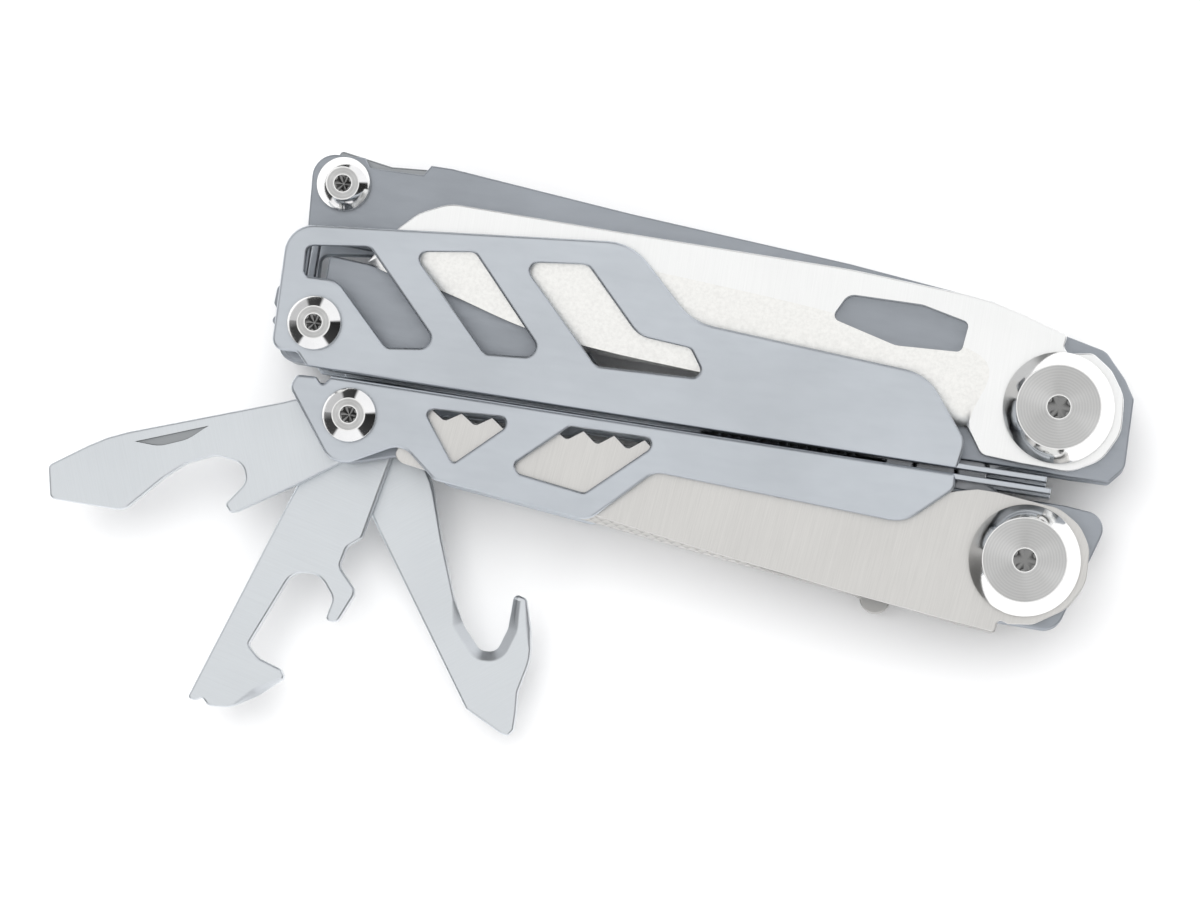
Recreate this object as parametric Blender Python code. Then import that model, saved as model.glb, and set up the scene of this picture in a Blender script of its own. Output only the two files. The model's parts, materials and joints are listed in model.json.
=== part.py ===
"""Folding multi tool: two windowed handles, folding pliers, outer blades and inner tools.

Drawn in millimetres. X runs along the slit between the folded handles, towards the main
pivots. Y points to the upper handle and Z out of the near side. The tool lies folded on its
far screw heads, with the three tools of the lower handle fanned out.
"""
import math

import bmesh
import bpy
from mathutils import Vector
from mathutils.geometry import tessellate_polygon

MM = 0.001
DATUM = (55.3, 7.5)  # moves the slit's right end so that the origin is under the middle

# Thicknesses of the stack, and the space left between neighbours.
HEAD = 1.1
COVER = 1.1
BLADE = 2.0
LINER = 1.1
TOOL = 2.0
GAP = 0.3
FLANGE = 0.7

# Pivots and screws, in the slit frame.
UPPER_PIVOT = (0.6, 9.4)
LOWER_PIVOT = (-0.6, -9.4)
TOOL_SCREW_UPPER = (-89.6, 23.2)
COVER_SCREW = (-90.0, 5.7)
TOOL_SCREW_LOWER = (-84.0, -4.7)
PLIER_PIVOT = (-13.0, 0.0)

# Round fasteners: radii of heads, their flat tops, sleeves and the holes around them.
MAIN_HEAD_R = 6.75
MAIN_FLAT_R = 5.1
MAIN_SLEEVE_R = 2.6
SMALL_HEAD_R = 3.3
SMALL_FLAT_R = 2.0
SMALL_SLEEVE_R = 1.7
CLEARANCE = 0.3
SLEEVE_WALL = 0.8
RECESS_DEPTH = 0.7
MAIN_RECESS_R = 1.3
MAIN_RECESS_LOBE = 0.18
SMALL_RECESS_R = 0.95
SMALL_RECESS_LOBE = 0.14
RIM_SHARE = 0.35
TOOL_HEAD = 1.5  # thickness of the heads that hold the upper tools
FASTENER_SIDES = 24
HOLE_SIDES = 20
HUB_STEPS = 7
FANNED_HUB_R = 4.4
STOWED_HUB_R = 3.4

# The plier's lap joint.
DISC_R = 6.2
LAP_R = 6.6
PIN_R = 2.4
PLIER_HUB_R = 6.0
PIN_CHAMFER = 0.3
KNIFE_STATIONS = 18
SECOND_STATIONS = 14

EDGE_HALF = 0.15  # half the thickness of a ground cutting edge
GRIND_BULGE = 0.3  # how far the middle of a grind line rises above its corners

# Rest angles of the fanned tools, in degrees from +X.
DRIVER_ANGLE = 200.8
CAN_OPENER_ANGLE = 256.4
HOOK_ANGLE = 306.4
STOWED_ANGLE = -3.0

STEEL = {
    "cover_steel": ((0.58, 0.61, 0.66), 0.38),
    "liner_steel": ((0.36, 0.38, 0.42), 0.42),
    "blade_steel": ((0.78, 0.78, 0.76), 0.28),
    "saw_steel": ((0.62, 0.60, 0.58), 0.40),
    "tool_steel": ((0.62, 0.65, 0.69), 0.32),
    "plier_steel": ((0.45, 0.46, 0.48), 0.40),
    "screw_steel": ((0.80, 0.80, 0.80), 0.18),
}


def stack_layers():
    """Heights (low, high) of each layer, built up from the far heads."""
    order = [
        ("far_head", HEAD), ("far_cover", COVER), ("far_blade", BLADE), ("far_liner", LINER),
        ("tool_3", TOOL), ("tool_2", TOOL), ("tool_1", TOOL),
        ("near_liner", LINER), ("near_blade", BLADE), ("near_cover", COVER), ("near_head", HEAD),
    ]
    layers = {}
    height = 0.0
    for name, thickness in order:
        layers[name] = (height, height + thickness)
        height += thickness + GAP
    return layers


LAYER = stack_layers()
CENTRE_LOW = LAYER["tool_3"][0]
CENTRE_HIGH = LAYER["tool_1"][1]
CENTRE_MIDDLE = (CENTRE_LOW + CENTRE_HIGH) / 2


# ---------------------------------------------------------------- outlines

def arc(centre, radius, start, end, count):
    """Points of a circular arc, from start to end in degrees."""
    points = []
    for i in range(count + 1):
        angle = math.radians(start + (end - start) * i / count)
        points.append((centre[0] + radius * math.cos(angle), centre[1] + radius * math.sin(angle)))
    return points


def circle(centre, radius, count=HOLE_SIDES):
    return arc(centre, radius, 0.0, 360.0, count)[:-1]


def rounded(corners, step=30.0):
    """Closed outline through corners (x, y) or (x, y, radius), with an arc at each radius."""
    points = []
    total = len(corners)
    for i, corner in enumerate(corners):
        here = Vector(corner[:2])
        radius = corner[2] if len(corner) > 2 else 0.0
        before = (Vector(corners[i - 1][:2]) - here)
        after = (Vector(corners[(i + 1) % total][:2]) - here)
        opening = before.angle(after)
        if radius <= 0.0 or opening > math.radians(179.0):
            points.append(tuple(here))
            continue
        tangent = min(radius / math.tan(opening / 2), 0.49 * before.length, 0.49 * after.length)
        radius = tangent * math.tan(opening / 2)
        middle = (before.normalized() + after.normalized()).normalized()
        centre = here + middle * (radius / math.sin(opening / 2))
        first = here + before.normalized() * tangent - centre
        last = here + after.normalized() * tangent - centre
        sweep = math.atan2(first.cross(last), first.dot(last))
        count = max(1, round(abs(math.degrees(sweep)) / step))
        start = math.degrees(math.atan2(first.y, first.x))
        points += arc(centre, radius, start, start + math.degrees(sweep), count)
    return points


def resampled(line, count, bulge=0.0):
    """Points at even distances along an open line, lifted in a shallow arc by bulge."""
    lengths = [0.0]
    for a, b in zip(line, line[1:]):
        lengths.append(lengths[-1] + math.dist(a, b))
    points = []
    for i in range(count):
        target = lengths[-1] * i / (count - 1)
        k = max(j for j in range(len(line) - 1) if lengths[j] <= target + 1e-9)
        share = (target - lengths[k]) / (lengths[k + 1] - lengths[k])
        (x0, y0), (x1, y1) = line[k], line[k + 1]
        lift = bulge * math.sin(math.pi * i / (count - 1))
        points.append((x0 + (x1 - x0) * share, y0 + (y1 - y0) * share + lift))
    return points


# ---------------------------------------------------------------- solids

def clear_scene():
    for thing in list(bpy.data.objects):
        bpy.data.objects.remove(thing, do_unlink=True)


def steel(slot):
    material = bpy.data.materials.get(slot)
    if material is None:
        material = bpy.data.materials.new(slot)
        material.use_nodes = True
        colour, roughness = STEEL[slot]
        shader = material.node_tree.nodes["Principled BSDF"]
        shader.inputs["Base Color"].default_value = (*colour, 1.0)
        shader.inputs["Metallic"].default_value = 1.0
        shader.inputs["Roughness"].default_value = roughness
    return material


def place(name, vertices, faces, slot, pivot=(0.0, 0.0), angle=0.0):
    """Make an object whose vertices are given around its pivot, turned by angle degrees."""
    mesh = bpy.data.meshes.new(name)
    mesh.from_pydata([(x * MM, y * MM, z * MM) for x, y, z in vertices], [], faces)
    work = bmesh.new()
    work.from_mesh(mesh)
    bmesh.ops.remove_doubles(work, verts=work.verts, dist=1e-6)
    bmesh.ops.recalc_face_normals(work, faces=work.faces)
    work.to_mesh(mesh)
    work.free()
    mesh.materials.append(steel(slot))
    thing = bpy.data.objects.new(name, mesh)
    bpy.context.collection.objects.link(thing)
    thing.location = ((pivot[0] + DATUM[0]) * MM, (pivot[1] + DATUM[1]) * MM, 0.0)
    thing.rotation_euler = (0.0, 0.0, math.radians(angle))
    return thing


def filled(loops):
    """Flat points and counter-clockwise triangles of an outline with holes."""
    points = [point for loop in loops for point in loop]
    triangles = tessellate_polygon([[Vector((x, y, 0.0)) for x, y in loop] for loop in loops])
    return points, [counter_clockwise(points, triangle) for triangle in triangles]


def counter_clockwise(points, face):
    area = 0.0
    for a, b in zip(face, tuple(face[1:]) + (face[0],)):
        area += points[a][0] * points[b][1] - points[b][0] * points[a][1]
    return tuple(face) if area > 0 else tuple(reversed(face))


def thickened(points, faces, low, high, thin=frozenset()):
    """Closed solid over flat faces. Points in thin are drawn in to a ground edge."""
    middle = (low + high) / 2
    count = len(points)
    bottom = [(x, y, middle - EDGE_HALF if i in thin else low) for i, (x, y) in enumerate(points)]
    top = [(x, y, middle + EDGE_HALF if i in thin else high) for i, (x, y) in enumerate(points)]
    edges = {(a, b) for face in faces for a, b in zip(face, tuple(face[1:]) + (face[0],))}
    solid = [tuple(i + count for i in face) for face in faces]
    solid += [tuple(reversed(face)) for face in faces]
    solid += [(a, b, b + count, a + count) for a, b in sorted(edges) if (b, a) not in edges]
    return bottom + top, solid


def plate(name, loops, layer, slot, pivot=(0.0, 0.0), angle=0.0, local=False):
    """Flat piece with holes. Its loops are in the slit frame unless local is set."""
    low, high = LAYER[layer] if isinstance(layer, str) else layer
    shift = (0.0, 0.0) if local else pivot
    loops = [[(x - shift[0], y - shift[1]) for x, y in loop] for loop in loops]
    vertices, faces = thickened(*filled(loops), low, high)
    return place(name, vertices, faces, slot, pivot, angle)


def ground_blade(name, back, holes, grind, edge, layer, slot, pivot, stations):
    """Blade with a flat body and a ground bevel that thins from the grind line to the edge.

    The body's outline is back, then the grind line. The grind line and the edge start at the
    same tip and run to the heel.
    """
    grind = resampled(grind, stations, GRIND_BULGE)
    edge = resampled(edge, stations)
    points, faces = filled([back + grind] + holes)
    first = len(back)
    start = len(points)
    points = points + edge[1:]
    for i in range(stations - 1):
        near_edge = start + i - 1 if i else first
        quad = [first + i, first + i + 1, start + i, near_edge]
        corners = list(dict.fromkeys(quad))
        faces.append(counter_clockwise(points, tuple(corners)))
    thin = {first} | set(range(start, len(points)))
    points = [(x - pivot[0], y - pivot[1]) for x, y in points]
    vertices, faces = thickened(points, faces, *LAYER[layer], thin)
    return place(name, vertices, faces, slot, pivot)


def boolean(target, other, operation):
    """Join or cut target with another object, which stays as a hidden guide."""
    other.hide_render = True
    other.display_type = "WIRE"
    modifier = target.modifiers.new(operation.lower(), "BOOLEAN")
    modifier.operation = operation
    modifier.object = other
    modifier.solver = "EXACT"


def turned(name, rings, count, slot, pivot):
    """Closed turned solid. Each ring is (radius, height, lobe), the lobe for a six-lobe wall."""
    vertices = []
    for radius, height, lobe in rings:
        for i in range(count):
            angle = 2 * math.pi * i / count
            reach = radius + lobe * math.cos(6 * angle)
            vertices.append((reach * math.cos(angle), reach * math.sin(angle), height))
    faces = [tuple(range(count)), tuple(range((len(rings) - 1) * count, len(rings) * count))]
    for ring in range(len(rings) - 1):
        for i in range(count):
            j = (i + 1) % count
            a, b = ring * count, (ring + 1) * count
            faces.append((a + i, a + j, b + j, b + i))
    thing = place(name, vertices, faces, slot, pivot)
    thing.data.shade_smooth()
    thing.data.set_sharp_from_angle(angle=math.radians(30))
    return thing


# ---------------------------------------------------------------- fasteners

def fastener(prefix, pivot, main, near_seat, near_top, far_seat, far_bottom):
    """A near screw with its shank, and the far barrel whose sleeve it threads into."""
    head_r, flat_r, sleeve_r = (
        (MAIN_HEAD_R, MAIN_FLAT_R, MAIN_SLEEVE_R) if main
        else (SMALL_HEAD_R, SMALL_FLAT_R, SMALL_SLEEVE_R)
    )
    recess_r, lobe = (
        (MAIN_RECESS_R, MAIN_RECESS_LOBE) if main else (SMALL_RECESS_R, SMALL_RECESS_LOBE)
    )
    bore_r = sleeve_r - SLEEVE_WALL
    shank_r = bore_r - CLEARANCE
    shank_end = (near_seat + far_seat) / 2
    near_rim = near_seat + RIM_SHARE * (near_top - near_seat)
    far_rim = far_seat - RIM_SHARE * (far_seat - far_bottom)
    turned(prefix + "_screw", [
        (shank_r, shank_end, 0.0), (shank_r, near_seat, 0.0), (head_r, near_seat, 0.0),
        (head_r, near_rim, 0.0), (flat_r, near_top, 0.0), (recess_r, near_top, lobe),
        (recess_r, near_top - RECESS_DEPTH, lobe),
    ], FASTENER_SIDES, "screw_steel", pivot)
    turned(prefix + "_barrel", [
        (recess_r, far_bottom + RECESS_DEPTH, lobe), (recess_r, far_bottom, lobe),
        (flat_r, far_bottom, 0.0), (head_r, far_rim, 0.0), (head_r, far_seat, 0.0),
        (sleeve_r, far_seat, 0.0), (sleeve_r, near_seat - GAP, 0.0), (bore_r, near_seat - GAP, 0.0),
        (bore_r, shank_end - GAP, 0.0),
    ], FASTENER_SIDES, "screw_steel", pivot)


def make_fasteners():
    near_top = LAYER["near_head"][1]
    for prefix, pivot in (("upper_pivot", UPPER_PIVOT), ("lower_pivot", LOWER_PIVOT)):
        fastener(prefix, pivot, True, LAYER["near_blade"][1] + GAP, near_top,
                 LAYER["far_blade"][0] - GAP, 0.0)
    for prefix, pivot in (("cover", COVER_SCREW), ("lower_tool", TOOL_SCREW_LOWER)):
        fastener(prefix, pivot, False, LAYER["near_head"][0], near_top, LAYER["far_head"][1], 0.0)
    near_seat = LAYER["near_liner"][1] + GAP
    far_seat = LAYER["far_liner"][0] - GAP
    fastener("upper_tool", TOOL_SCREW_UPPER, False, near_seat, near_seat + TOOL_HEAD,
             far_seat, far_seat - TOOL_HEAD)


# ---------------------------------------------------------------- handles

UPPER_COVER = [
    (-95.2, 17.2, 3.6), (-53.4, 21.3, 6.5), (-44.6, 12.9, 7.0), (-15.6, 11.0, 6.0),
    (-9.8, 3.6, 2.5), (-10.3, 0.6, 0.3), (-90.2, 0.6, 0.6), (-91.6, 1.9, 0.8), (-94.8, 1.7, 2.4),
]
UPPER_WINDOWS = [
    [(-92.4, 14.9, 0.9), (-84.9, 15.9, 1.2), (-74.5, 5.0, 1.2), (-81.0, 4.1, 1.2),
     (-88.2, 11.3, 3.0), (-92.2, 11.2, 0.6)],
    [(-79.6, 16.1, 1.0), (-72.1, 17.2, 1.2), (-61.6, 5.8, 1.2), (-69.0, 5.2, 1.2)],
    [(-66.3, 16.9, 1.1), (-58.3, 17.8, 1.5), (-50.9, 10.2, 3.5), (-44.4, 9.7, 1.2),
     (-42.0, 6.3, 0.9), (-55.4, 5.8, 1.5)],
]
LOWER_COVER = [
    (-91.2, -0.8, 0.8), (-91.8, -2.4, 1.2), (-85.0, -11.4, 3.0), (-77.2, -7.2, 2.5),
    (-72.6, -10.9, 1.5), (-53.4, -12.9, 2.5), (-46.3, -5.8, 2.5), (-15.6, -7.2, 4.5),
    (-10.2, -2.2, 1.2), (-10.4, -0.8, 0.3), (-87.2, -0.8, 0.3), (-87.9, -1.8, 0.4),
    (-88.6, -0.8, 0.3),
]
LOWER_WINDOWS = [
    [(-75.3, -2.5, 0.8), (-63.6, -1.9, 0.9), (-70.7, -8.6, 0.6)],
    [(-57.3, -1.9, 0.8), (-45.9, -1.8, 0.9), (-54.3, -9.6, 1.0), (-64.2, -8.3, 0.9)],
]
UPPER_LINER = [
    (-93.9, 26.6, 2.8), (-87.6, 26.8), (-86.8, 25.7), (-80.2, 25.8), (-79.4, 27.1),
    (-76.8, 27.1), (-54.5, 25.0), (-27.1, 23.0), (-9.2, 21.1), (0.3, 18.3), (5.2, 17.2, 2.0),
    (8.0, 14.2, 1.0), (9.4, 12.0, 0.6), (9.6, 3.6, 1.8), (7.9, 1.6, 0.6), (3.5, 1.5),
    (-8.0, 1.6), (-88.0, 0.8), (-94.0, 1.2, 2.0), (-93.2, 17.4, 0.8),
]
UPPER_LINER_SLOT = [
    (-92.4, 16.4, 0.4), (-80.0, 16.0, 0.4), (-80.0, 13.7, 0.4), (-90.0, 14.4, 0.2),
    (-90.0, 10.2, 0.4), (-92.4, 10.2, 0.4),
]
LOCK_SLOT = [
    (-59.2, 9.8, 0.8), (-57.6, 4.6, 1.0), (-16.0, 4.2, 0.9), (-16.0, 6.0, 0.9), (-42.0, 7.6, 6.0),
    (-52.0, 8.4, 6.0),
]
LOWER_LINER = [
    (-90.8, -1.1, 0.8), (-91.2, -2.6, 1.2), (-85.0, -10.9, 3.0), (-77.0, -8.4, 3.0),
    (-54.0, -11.5), (-20.0, -16.0), (-4.0, -17.1), (4.4, -17.2, 2.5), (8.8, -2.5, 2.6),
    (3.4, -2.0), (-8.0, -1.9), (-42.2, -1.6, 0.8), (-43.6, -4.4, 0.8), (-77.0, -4.4, 0.8),
    (-78.4, -1.3, 0.8), (-88.0, -1.2),
]
FLANGE_Y = 0.3
UPPER_FLANGE_END = 0.5
LOWER_FLANGE_END = 1.2
FLANGE_START = -87.0
FLANGE_SETBACK = 0.2


def make_cover(name, outline, windows, screw, side, flange_end, near):
    """Windowed sheet with a flange that turns in at the slit. side is +1 for the upper one."""
    layer = "near_cover" if near else "far_cover"
    loops = [rounded(outline), *[rounded(window) for window in windows]]
    loops.append(circle(screw, SMALL_SLEEVE_R + CLEARANCE))
    cover = plate(name, loops, layer, "cover_steel")
    outer = side * FLANGE_Y
    inner = side * (FLANGE_Y + FLANGE)
    strip = [(FLANGE_START, outer), (flange_end, outer), (flange_end, inner), (FLANGE_START, inner)]
    if near:
        span = (LAYER["near_blade"][0], LAYER["near_cover"][1] - FLANGE_SETBACK)
    else:
        span = (LAYER["far_cover"][0] + FLANGE_SETBACK, LAYER["far_blade"][1])
    flange = plate(name + "_flange", [strip], span, "cover_steel")
    boolean(cover, flange, "UNION")


def make_handles():
    small = SMALL_SLEEVE_R + CLEARANCE
    main = MAIN_SLEEVE_R + CLEARANCE
    for near, side_name in ((True, "near"), (False, "far")):
        make_cover("upper_cover_" + side_name, UPPER_COVER, UPPER_WINDOWS, COVER_SCREW,
                   1, UPPER_FLANGE_END, near)
        make_cover("lower_cover_" + side_name, LOWER_COVER, LOWER_WINDOWS, TOOL_SCREW_LOWER,
                   -1, LOWER_FLANGE_END, near)
        plate("upper_liner_" + side_name, [
            rounded(UPPER_LINER), rounded(UPPER_LINER_SLOT), rounded(LOCK_SLOT),
            circle(TOOL_SCREW_UPPER, small), circle(COVER_SCREW, small),
            circle(UPPER_PIVOT, main),
        ], side_name + "_liner", "liner_steel")
        plate("lower_liner_" + side_name, [
            rounded(LOWER_LINER), circle(TOOL_SCREW_LOWER, small), circle(LOWER_PIVOT, main),
        ], side_name + "_liner", "liner_steel")
    spacer = [
        (-95.9, 10.2, 1.0), (-86.4, 10.2, 1.5), (-86.4, 0.9, 1.0), (-94.0, 0.9, 2.0),
        (-95.2, 4.6, 0.5), (-96.0, 5.6, 0.4), (-95.2, 6.6, 0.4), (-96.0, 7.6, 0.4),
    ]
    plate("upper_end_spacer", [rounded(spacer), circle(COVER_SCREW, small)],
          (CENTRE_LOW, CENTRE_HIGH), "liner_steel")


# ---------------------------------------------------------------- pliers

def make_plier_half(name, hub, side, low):
    """Half a pair of pliers: hub and tang on one side of the slit, jaw on the other.

    side is +1 for the tang above the slit. The half that keeps its low side at the disc has
    low set, and the other half laps over it.
    """
    def up(points):
        return [(x, y * side) for x, y in points]

    hub = (hub[0], hub[1] * side)
    outline = [(-42.0, -0.15), (-19.15, -0.15)]
    outline += arc(PLIER_PIVOT, DISC_R, 180, 105, 5)
    outline += arc(hub, PLIER_HUB_R, 130, -100, 14)
    outline += [(-6.9, 0.4)]
    outline += arc(PLIER_PIVOT, DISC_R, 0, -145, 9)
    outline += [(-21.0, -5.4), (-30.0, -4.4), (-41.4, -2.0)]
    loops = [up(outline), circle(PLIER_PIVOT, PIN_R + CLEARANCE)]
    loops.append(up(circle(hub, MAIN_SLEEVE_R + CLEARANCE)))
    half = plate(name, loops, (CENTRE_LOW, CENTRE_HIGH), "plier_steel", PLIER_PIVOT)
    if low:
        cut = (CENTRE_MIDDLE - GAP / 2, CENTRE_HIGH + 1)
    else:
        cut = (CENTRE_LOW - 1, CENTRE_MIDDLE + GAP / 2)
    lap = plate(name + "_lap", [circle(PLIER_PIVOT, LAP_R, 32)], cut, "plier_steel", PLIER_PIVOT)
    boolean(half, lap, "DIFFERENCE")


def make_pliers():
    make_plier_half("plier_half_upper", UPPER_PIVOT, 1, True)
    make_plier_half("plier_half_lower", LOWER_PIVOT, -1, False)
    turned("plier_pivot_pin", [
        (PIN_R - PIN_CHAMFER, CENTRE_LOW, 0.0), (PIN_R, CENTRE_LOW + PIN_CHAMFER, 0.0),
        (PIN_R, CENTRE_HIGH - PIN_CHAMFER, 0.0), (PIN_R - PIN_CHAMFER, CENTRE_HIGH, 0.0),
    ], HOLE_SIDES, "plier_steel", PLIER_PIVOT)


# ---------------------------------------------------------------- outer blades

KNIFE_BACK = [
    (-9.9, 5.4), (-9.3, 4.6), (-7.8, 2.4), (-2.9, 2.1), (3.1, 2.0), (6.7, 4.0), (8.5, 7.6),
    (8.2, 12.0), (6.2, 14.9), (3.7, 16.6), (0.7, 16.1), (0.1, 16.8), (0.3, 18.3),
    (-9.2, 21.1), (-26.9, 22.2), (-54.1, 22.4), (-76.1, 22.7), (-77.8, 22.4), (-79.7, 21.0),
    (-82.1, 18.6), (-84.2, 15.5),
]
KNIFE_GRIND = [
    (-84.9, 14.1), (-82.6, 17.2), (-78.0, 19.4), (-66.0, 19.4), (-49.8, 18.3), (-28.5, 16.7),
    (-9.6, 14.2), (-9.8, 6.2),
]
KNIFE_EDGE = [
    (-84.9, 14.1), (-82.3, 13.2), (-75.3, 12.0), (-64.9, 9.2), (-55.0, 7.9), (-42.6, 7.1),
    (-25.0, 6.1), (-10.4, 5.5),
]
THUMB_OPENING = [
    (-28.2, 16.0, 0.8), (-26.6, 19.2, 1.6), (-17.5, 19.3, 3.0), (-11.6, 18.0, 0.8),
    (-12.0, 14.3, 0.8), (-20.0, 13.9, 3.0),
]
SECOND_BACK = [
    (-9.9, 5.4), (-9.3, 4.6), (-7.8, 2.4), (-2.9, 2.1), (3.1, 2.0), (6.7, 4.0), (8.5, 7.6),
    (8.2, 12.0), (6.2, 14.9), (3.7, 16.6), (0.7, 16.1), (0.1, 16.8), (0.3, 18.3),
    (-9.2, 21.1), (-26.9, 22.2), (-54.1, 22.0), (-70.0, 20.0), (-77.5, 15.6),
]
SECOND_GRIND = [(-79.0, 9.6), (-72.0, 13.4), (-40.0, 14.0), (-10.0, 13.4), (-9.8, 6.2)]
SECOND_EDGE = [(-79.0, 9.6), (-60.0, 8.2), (-40.0, 7.4), (-10.4, 5.5)]

SAW_BACK = [
    (-6.5, -1.7), (-5.2, -1.7), (2.6, -2.5), (5.3, -4.2), (6.9, -6.6), (7.1, -11.0),
    (5.2, -14.4), (1.6, -16.8), (-1.4, -17.2), (-2.7, -16.8), (-2.9, -18.4), (-8.2, -17.9),
    (-20.0, -16.6), (-39.8, -14.0), (-52.4, -12.1), (-73.6, -9.9), (-77.1, -9.4),
    (-78.0, -8.6), (-77.0, -5.6), (-75.6, -4.2),
]
SAW_PITCH = 3.75
SAW_TEETH = 17
SAW_FIRST_TIP = (-74.4, -2.3)
SAW_LAST_TIP = (-14.4, -1.65)
GULLET_DEPTH = 1.5
FILE_BACK = [
    (-9.0, -2.4), (-5.2, -1.7), (2.6, -2.5), (5.3, -4.2), (6.9, -6.6), (7.1, -11.0),
    (5.2, -14.4), (1.6, -16.8), (-1.4, -17.2), (-2.7, -16.8), (-2.9, -18.4), (-8.2, -17.9),
]
FILE_FRONT = [(-21.0, -16.4), (-39.9, -14.3), (-70.0, -10.6), (-74.0, -8.6), (-74.0, -4.2),
              (-72.0, -2.6)]
THUMB_BUMP = (-18.0, -16.4)


def make_blades():
    main_hole = MAIN_SLEEVE_R + CLEARANCE
    upper_hole = circle(UPPER_PIVOT, main_hole)
    lower_hole = circle(LOWER_PIVOT, main_hole)
    knife = ground_blade("knife_blade", KNIFE_BACK, [upper_hole], KNIFE_GRIND, KNIFE_EDGE,
                         "near_blade", "blade_steel", UPPER_PIVOT, KNIFE_STATIONS)
    low, high = LAYER["near_blade"]
    opening = plate("thumb_opening", [rounded(THUMB_OPENING)], (low - 1, high + 1), "blade_steel",
                    UPPER_PIVOT)
    boolean(knife, opening, "DIFFERENCE")
    ground_blade("second_blade", SECOND_BACK, [upper_hole], SECOND_GRIND, SECOND_EDGE,
                 "far_blade", "blade_steel", UPPER_PIVOT, SECOND_STATIONS)
    plate("saw_blade", [SAW_BACK + saw_teeth(), lower_hole], "near_blade", "saw_steel", LOWER_PIVOT)
    bump = arc(THUMB_BUMP, 1.9, 350, 190, 6)
    plate("file_blade", [FILE_BACK + bump + FILE_FRONT, lower_hole], "far_blade", "saw_steel",
          LOWER_PIVOT)


def saw_teeth():
    """Teeth along the slit side, each a tip and a sloping gullet."""
    points = []
    for i in range(SAW_TEETH):
        share = i / (SAW_TEETH - 1)
        x = SAW_FIRST_TIP[0] + (SAW_LAST_TIP[0] - SAW_FIRST_TIP[0]) * share
        y = SAW_FIRST_TIP[1] + (SAW_LAST_TIP[1] - SAW_FIRST_TIP[1]) * share
        points += [(x, y), (x + 0.35 * SAW_PITCH, y - GULLET_DEPTH),
                   (x + 0.7 * SAW_PITCH, y - GULLET_DEPTH * 0.85)]
    return points


# ---------------------------------------------------------------- fanned tools

def tool_hub(radius, start, end):
    return arc((0.0, 0.0), radius, start, end, HUB_STEPS)


def make_fanned_tools():
    """Tools of the lower handle, drawn along +X from their pivot and turned to their place."""
    hole = circle((0.0, 0.0), SMALL_SLEEVE_R + CLEARANCE, 16)
    driver = rounded(tool_hub(FANNED_HUB_R, 100, 240) + [
        (8.1, -3.7, 6.0), (30.2, -4.1, 20.0), (38.1, -2.1, 0.8), (38.7, 2.0, 0.8), (30.1, 5.3, 2.0),
        (24.5, 2.4, 6.0), (21.3, 1.2, 3.0), (17.6, 1.0, 2.5), (14.5, 2.7, 1.8), (14.6, 5.0, 1.6),
        (17.7, 7.1, 0.5), (17.3, 8.3, 0.5), (16.3, 8.3, 0.5), (8.6, 6.6, 8.0), (2.6, 5.0, 3.0),
    ])
    plate("flat_driver", [driver, hole], "tool_1", "tool_steel", TOOL_SCREW_LOWER, DRIVER_ANGLE,
          local=True)
    can_opener = rounded(tool_hub(FANNED_HUB_R, 130, 250) + [
        (10.4, -3.6, 8.0), (39.6, -6.0, 0.5), (39.5, -5.0, 0.5), (38.8, -4.3, 0.5), (39.5, -3.2, 1.0),
        (38.6, -0.6, 3.0), (35.9, 2.0, 5.0), (32.7, 4.2, 0.5), (31.9, 3.3, 0.5), (31.7, 0.2, 2.0),
        (30.7, -1.6, 0.8), (20.4, 0.0, 2.2), (19.3, 3.2, 2.5), (21.4, 5.9, 1.5), (24.3, 6.0, 0.5),
        (24.0, 7.5, 0.9), (19.6, 8.2, 1.2), (17.6, 5.1, 1.2), (15.0, 5.0, 1.2), (13.2, 6.3, 0.8),
        (2.2, 5.8, 3.0),
    ])
    plate("can_opener", [can_opener, hole], "tool_2", "tool_steel", TOOL_SCREW_LOWER,
          CAN_OPENER_ANGLE, local=True)
    hook = rounded(tool_hub(FANNED_HUB_R, 120, 250) + [
        (12.3, -4.0, 10.0), (37.7, -4.5, 0.6), (42.3, -2.1, 0.5), (43.0, -1.5, 0.5), (42.7, -0.5, 0.5),
        (40.9, 0.8, 2.0), (38.8, 2.1, 1.5), (35.9, 5.4, 6.0), (32.6, 7.1, 6.0), (29.1, 8.3, 0.7),
        (27.8, 7.3, 0.6), (31.3, 4.6, 2.5), (33.2, 2.0, 1.4), (32.1, 0.3, 1.2), (28.4, -0.1, 4.0),
        (25.0, 0.4, 6.0), (17.7, 2.4), (11.0, 4.6, 10.0), (1.3, 5.0, 3.0),
    ])
    plate("cord_hook", [hook, hole], "tool_3", "tool_steel", TOOL_SCREW_LOWER, HOOK_ANGLE,
          local=True)


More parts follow.
